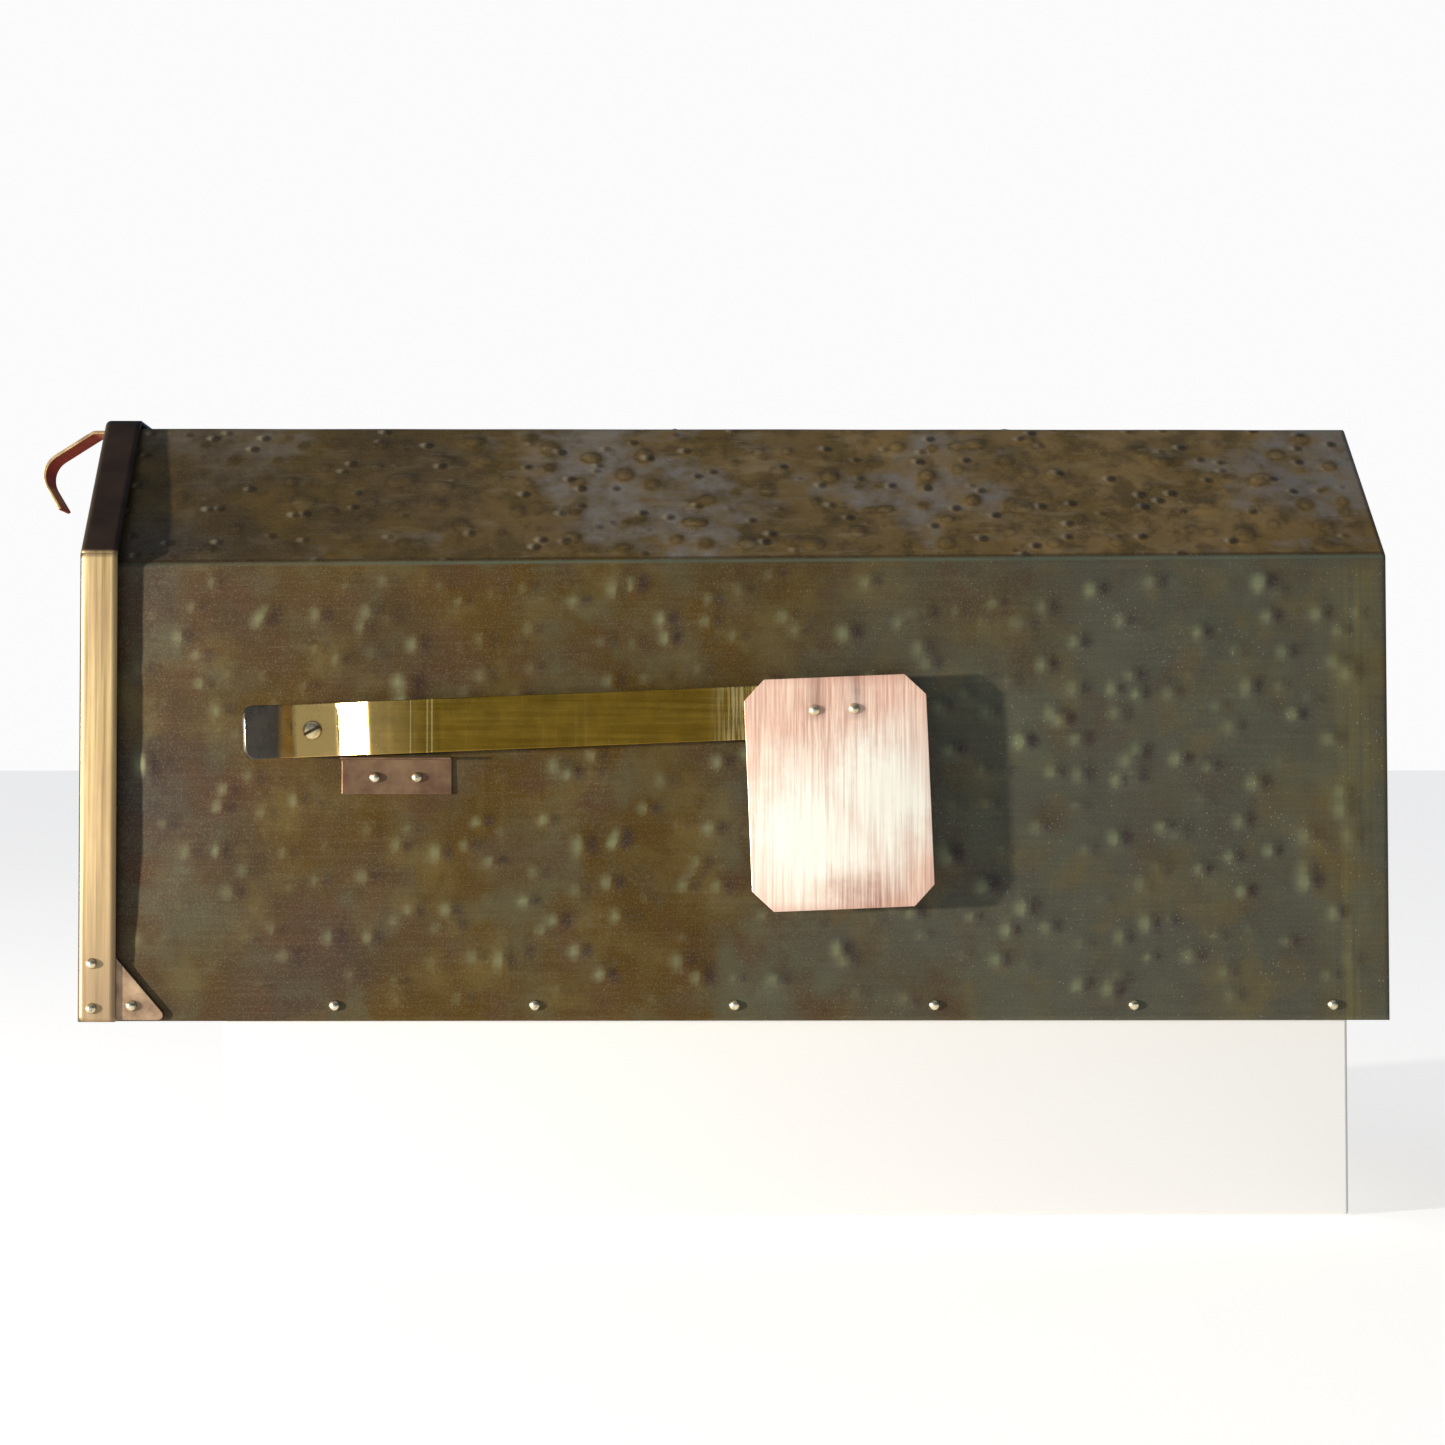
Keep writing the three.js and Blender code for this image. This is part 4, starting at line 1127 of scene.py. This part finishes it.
def assemble():
    patina, rivets, steel = patinated_brass(), rivet_brass(), plated_steel()
    ear_copper = brown_copper("ear_copper", (0.2, 0.125, 0.078), (0.44, 0.31, 0.19))
    stop_copper = brown_copper("stop_copper", (0.11, 0.058, 0.032), (0.2, 0.125, 0.07))

    dress(build_shell(), patina, "body_shell")
    dress(build_pan("back_pan", "back_panel", -1, 23), patina, "back_panel")
    dress(build_door(), rim_brass(), "door_panel")
    dress(build_handle(), handle_brass(), "handle_strap")
    dress(build_bracket(), stop_copper, "stop_bracket")
    dress(build_arm(), yellow_brass(), "flag_arm")
    dress(build_flag_plate(), brushed_copper(), "flag_plate")
    for node in ("hinge_ear_right", "hinge_ear_left"):
        dress(build_ear(node), ear_copper, node)
    for node in sorted(n for n in nodes if "rivet" in n):
        dress(build_rivet(node), rivets, node)
    dress(build_screw(), screw_brass(), "flag_pivot_screw")
    dress(build_nut(), steel, "flag_lock_nut")
    for node in ("flag_spacer", "flag_inner_washer"):
        dress(build_ring(node, SCREW_HOLE), steel, node)
    for node in ("hinge_pivot_washer_right", "hinge_pivot_washer_left"):
        dress(build_ring(node, PIN_HOLE), steel, node)

    kept = {
        "floor_pan": (patinated_brass("floor_brass"), "patinated_brass"),
        "catch_bracket": (steel, "plated_steel"),
        "striker_plate": (steel, "plated_steel"),
        "catch_magnet": (magnet_black(), "magnet"),
    }
    for node, (material, slot) in kept.items():
        piece = dress(nodes[node], material)
        piece.data.shade_smooth()
        round_edges(piece, 0.25 * MM, segments=2)


# ---- Stage, light and camera ----


def plain_material(name, grey, glow):
    g = Graph(name)
    tone = g.map(g.noise(3, 2), 0.3, 0.7, 0.98, 1.0)
    g.colour = g.mix(tone, (grey * 0.96,) * 3, (grey,) * 3)
    g.shader.inputs["Specular IOR Level"].default_value = 0.0
    g.shader.inputs["Emission Color"].default_value = (1, 0.94, 0.84, 1)
    g.shader.inputs["Emission Strength"].default_value = glow
    return g.finish(0.8, metallic=0.0)


def build_stage():
    """A pale floor, low enough for the door to swing down, and the plinth that the box stands on."""
    drop = cad_box[0].z - 78 * MM
    reach = 14
    corners = [(-reach, -reach, drop), (reach, -reach, drop), (reach, reach, drop), (-reach, reach, drop)]
    floor = mesh_object("floor", corners, [(0, 1, 2, 3)], smooth=False)
    floor.data.materials.append(plain_material("pale_floor", 0.9, 0.62))
    front, back, half = -200 * MM, 242 * MM, 86 * MM
    size = Vector((back - front, 2 * half, -drop - 0.1 * MM))
    middle = Matrix.Translation(((front + back) / 2, 0, drop + size.z / 2))
    plinth = block_object("plinth", middle @ Matrix.Diagonal((*size, 1)))
    plinth.data.materials.append(plain_material("pale_plinth", 0.5, 0.14))
    round_edges(plinth, 1.5 * MM)


class WorldGraph(Graph):
    """The same short calls for the world's node tree, where the coordinates are a direction."""

    def __init__(self, name):
        self.world = bpy.data.worlds.new(name)
        self.world.use_nodes = True
        self.tree = self.world.node_tree
        self.coords = self.add("TexCoord")
        self.place = self.coords.outputs["Generated"]


def build_world():
    """A cool, half dark room, darker behind the camera to its right, with a pale panel overhead."""
    g = WorldGraph("studio")
    bpy.context.scene.world = g.world
    up = g.axis("Z")
    g.colour = g.mix(g.map(up, 0.05, 0.7), (0.31, 0.46, 0.7), (0.18, 0.23, 0.31))
    dark_side = g.map(g.dot(g.place, (0.8, -0.6, 0)), 0.1, 0.8)
    g.layer(dark_side, (0.04, 0.062, 0.115))
    across = g.times(g.map(g.axis("Y"), 0.05, -0.03), g.map(g.axis("Y"), -0.5, -0.4))
    panel = g.times(across, g.map(up, 0.62, 0.7))
    g.layer(panel, (0.46, 0.46, 0.47))
    lit = g.tree.nodes["Background"]
    g.feed(lit.inputs["Color"], g.colour)
    white = g.add("Background")
    white.inputs["Color"].default_value = (0.97, 0.97, 0.97, 1)
    mixer = g.add("MixShader")
    g.feed(mixer.inputs[0], g.add("LightPath").outputs["Is Camera Ray"])
    g.feed(mixer.inputs[1], lit.outputs[0])
    g.feed(mixer.inputs[2], white.outputs[0])
    g.feed(g.tree.nodes["World Output"].inputs["Surface"], mixer.outputs[0])


def build_light():
    """A key from the door's end, near enough level, that rakes across the hammered wall."""
    away = Vector((-0.92, -0.39, 0.0)) * 2.6
    heart = Vector((-30 * MM, -wall_y, 110 * MM))
    data = bpy.data.lights.new("key", "AREA")
    data.shape = "DISK"
    data.size = 0.11
    data.energy = 195
    data.color = (1.0, 0.94, 0.84)
    key = new_object("key", data)
    key.location = heart + away
    key.rotation_euler = (-away).to_track_quat("-Z", "Y").to_euler()


def build_camera():
    """Low in front of the flag side, a little nearer the door, looking slightly up."""
    data = bpy.data.cameras.new("camera")
    data.lens = 68.13
    data.sensor_width = 36
    data.shift_x = 0.09
    data.shift_y = -0.0489
    data.clip_start = 0.05
    camera = new_object("camera", data)
    camera.location = (-64.9 * MM, -wall_y - 1061.8 * MM, 109.9 * MM)
    yaw, pitch = math.radians(0.517), math.radians(1.776)
    camera.rotation_euler = (math.pi / 2 + pitch, 0, -yaw)
    bpy.context.scene.camera = camera


build_camera()
assemble()
build_stage()
build_world()
build_light()
bpy.context.scene.view_settings.view_transform = "Standard"
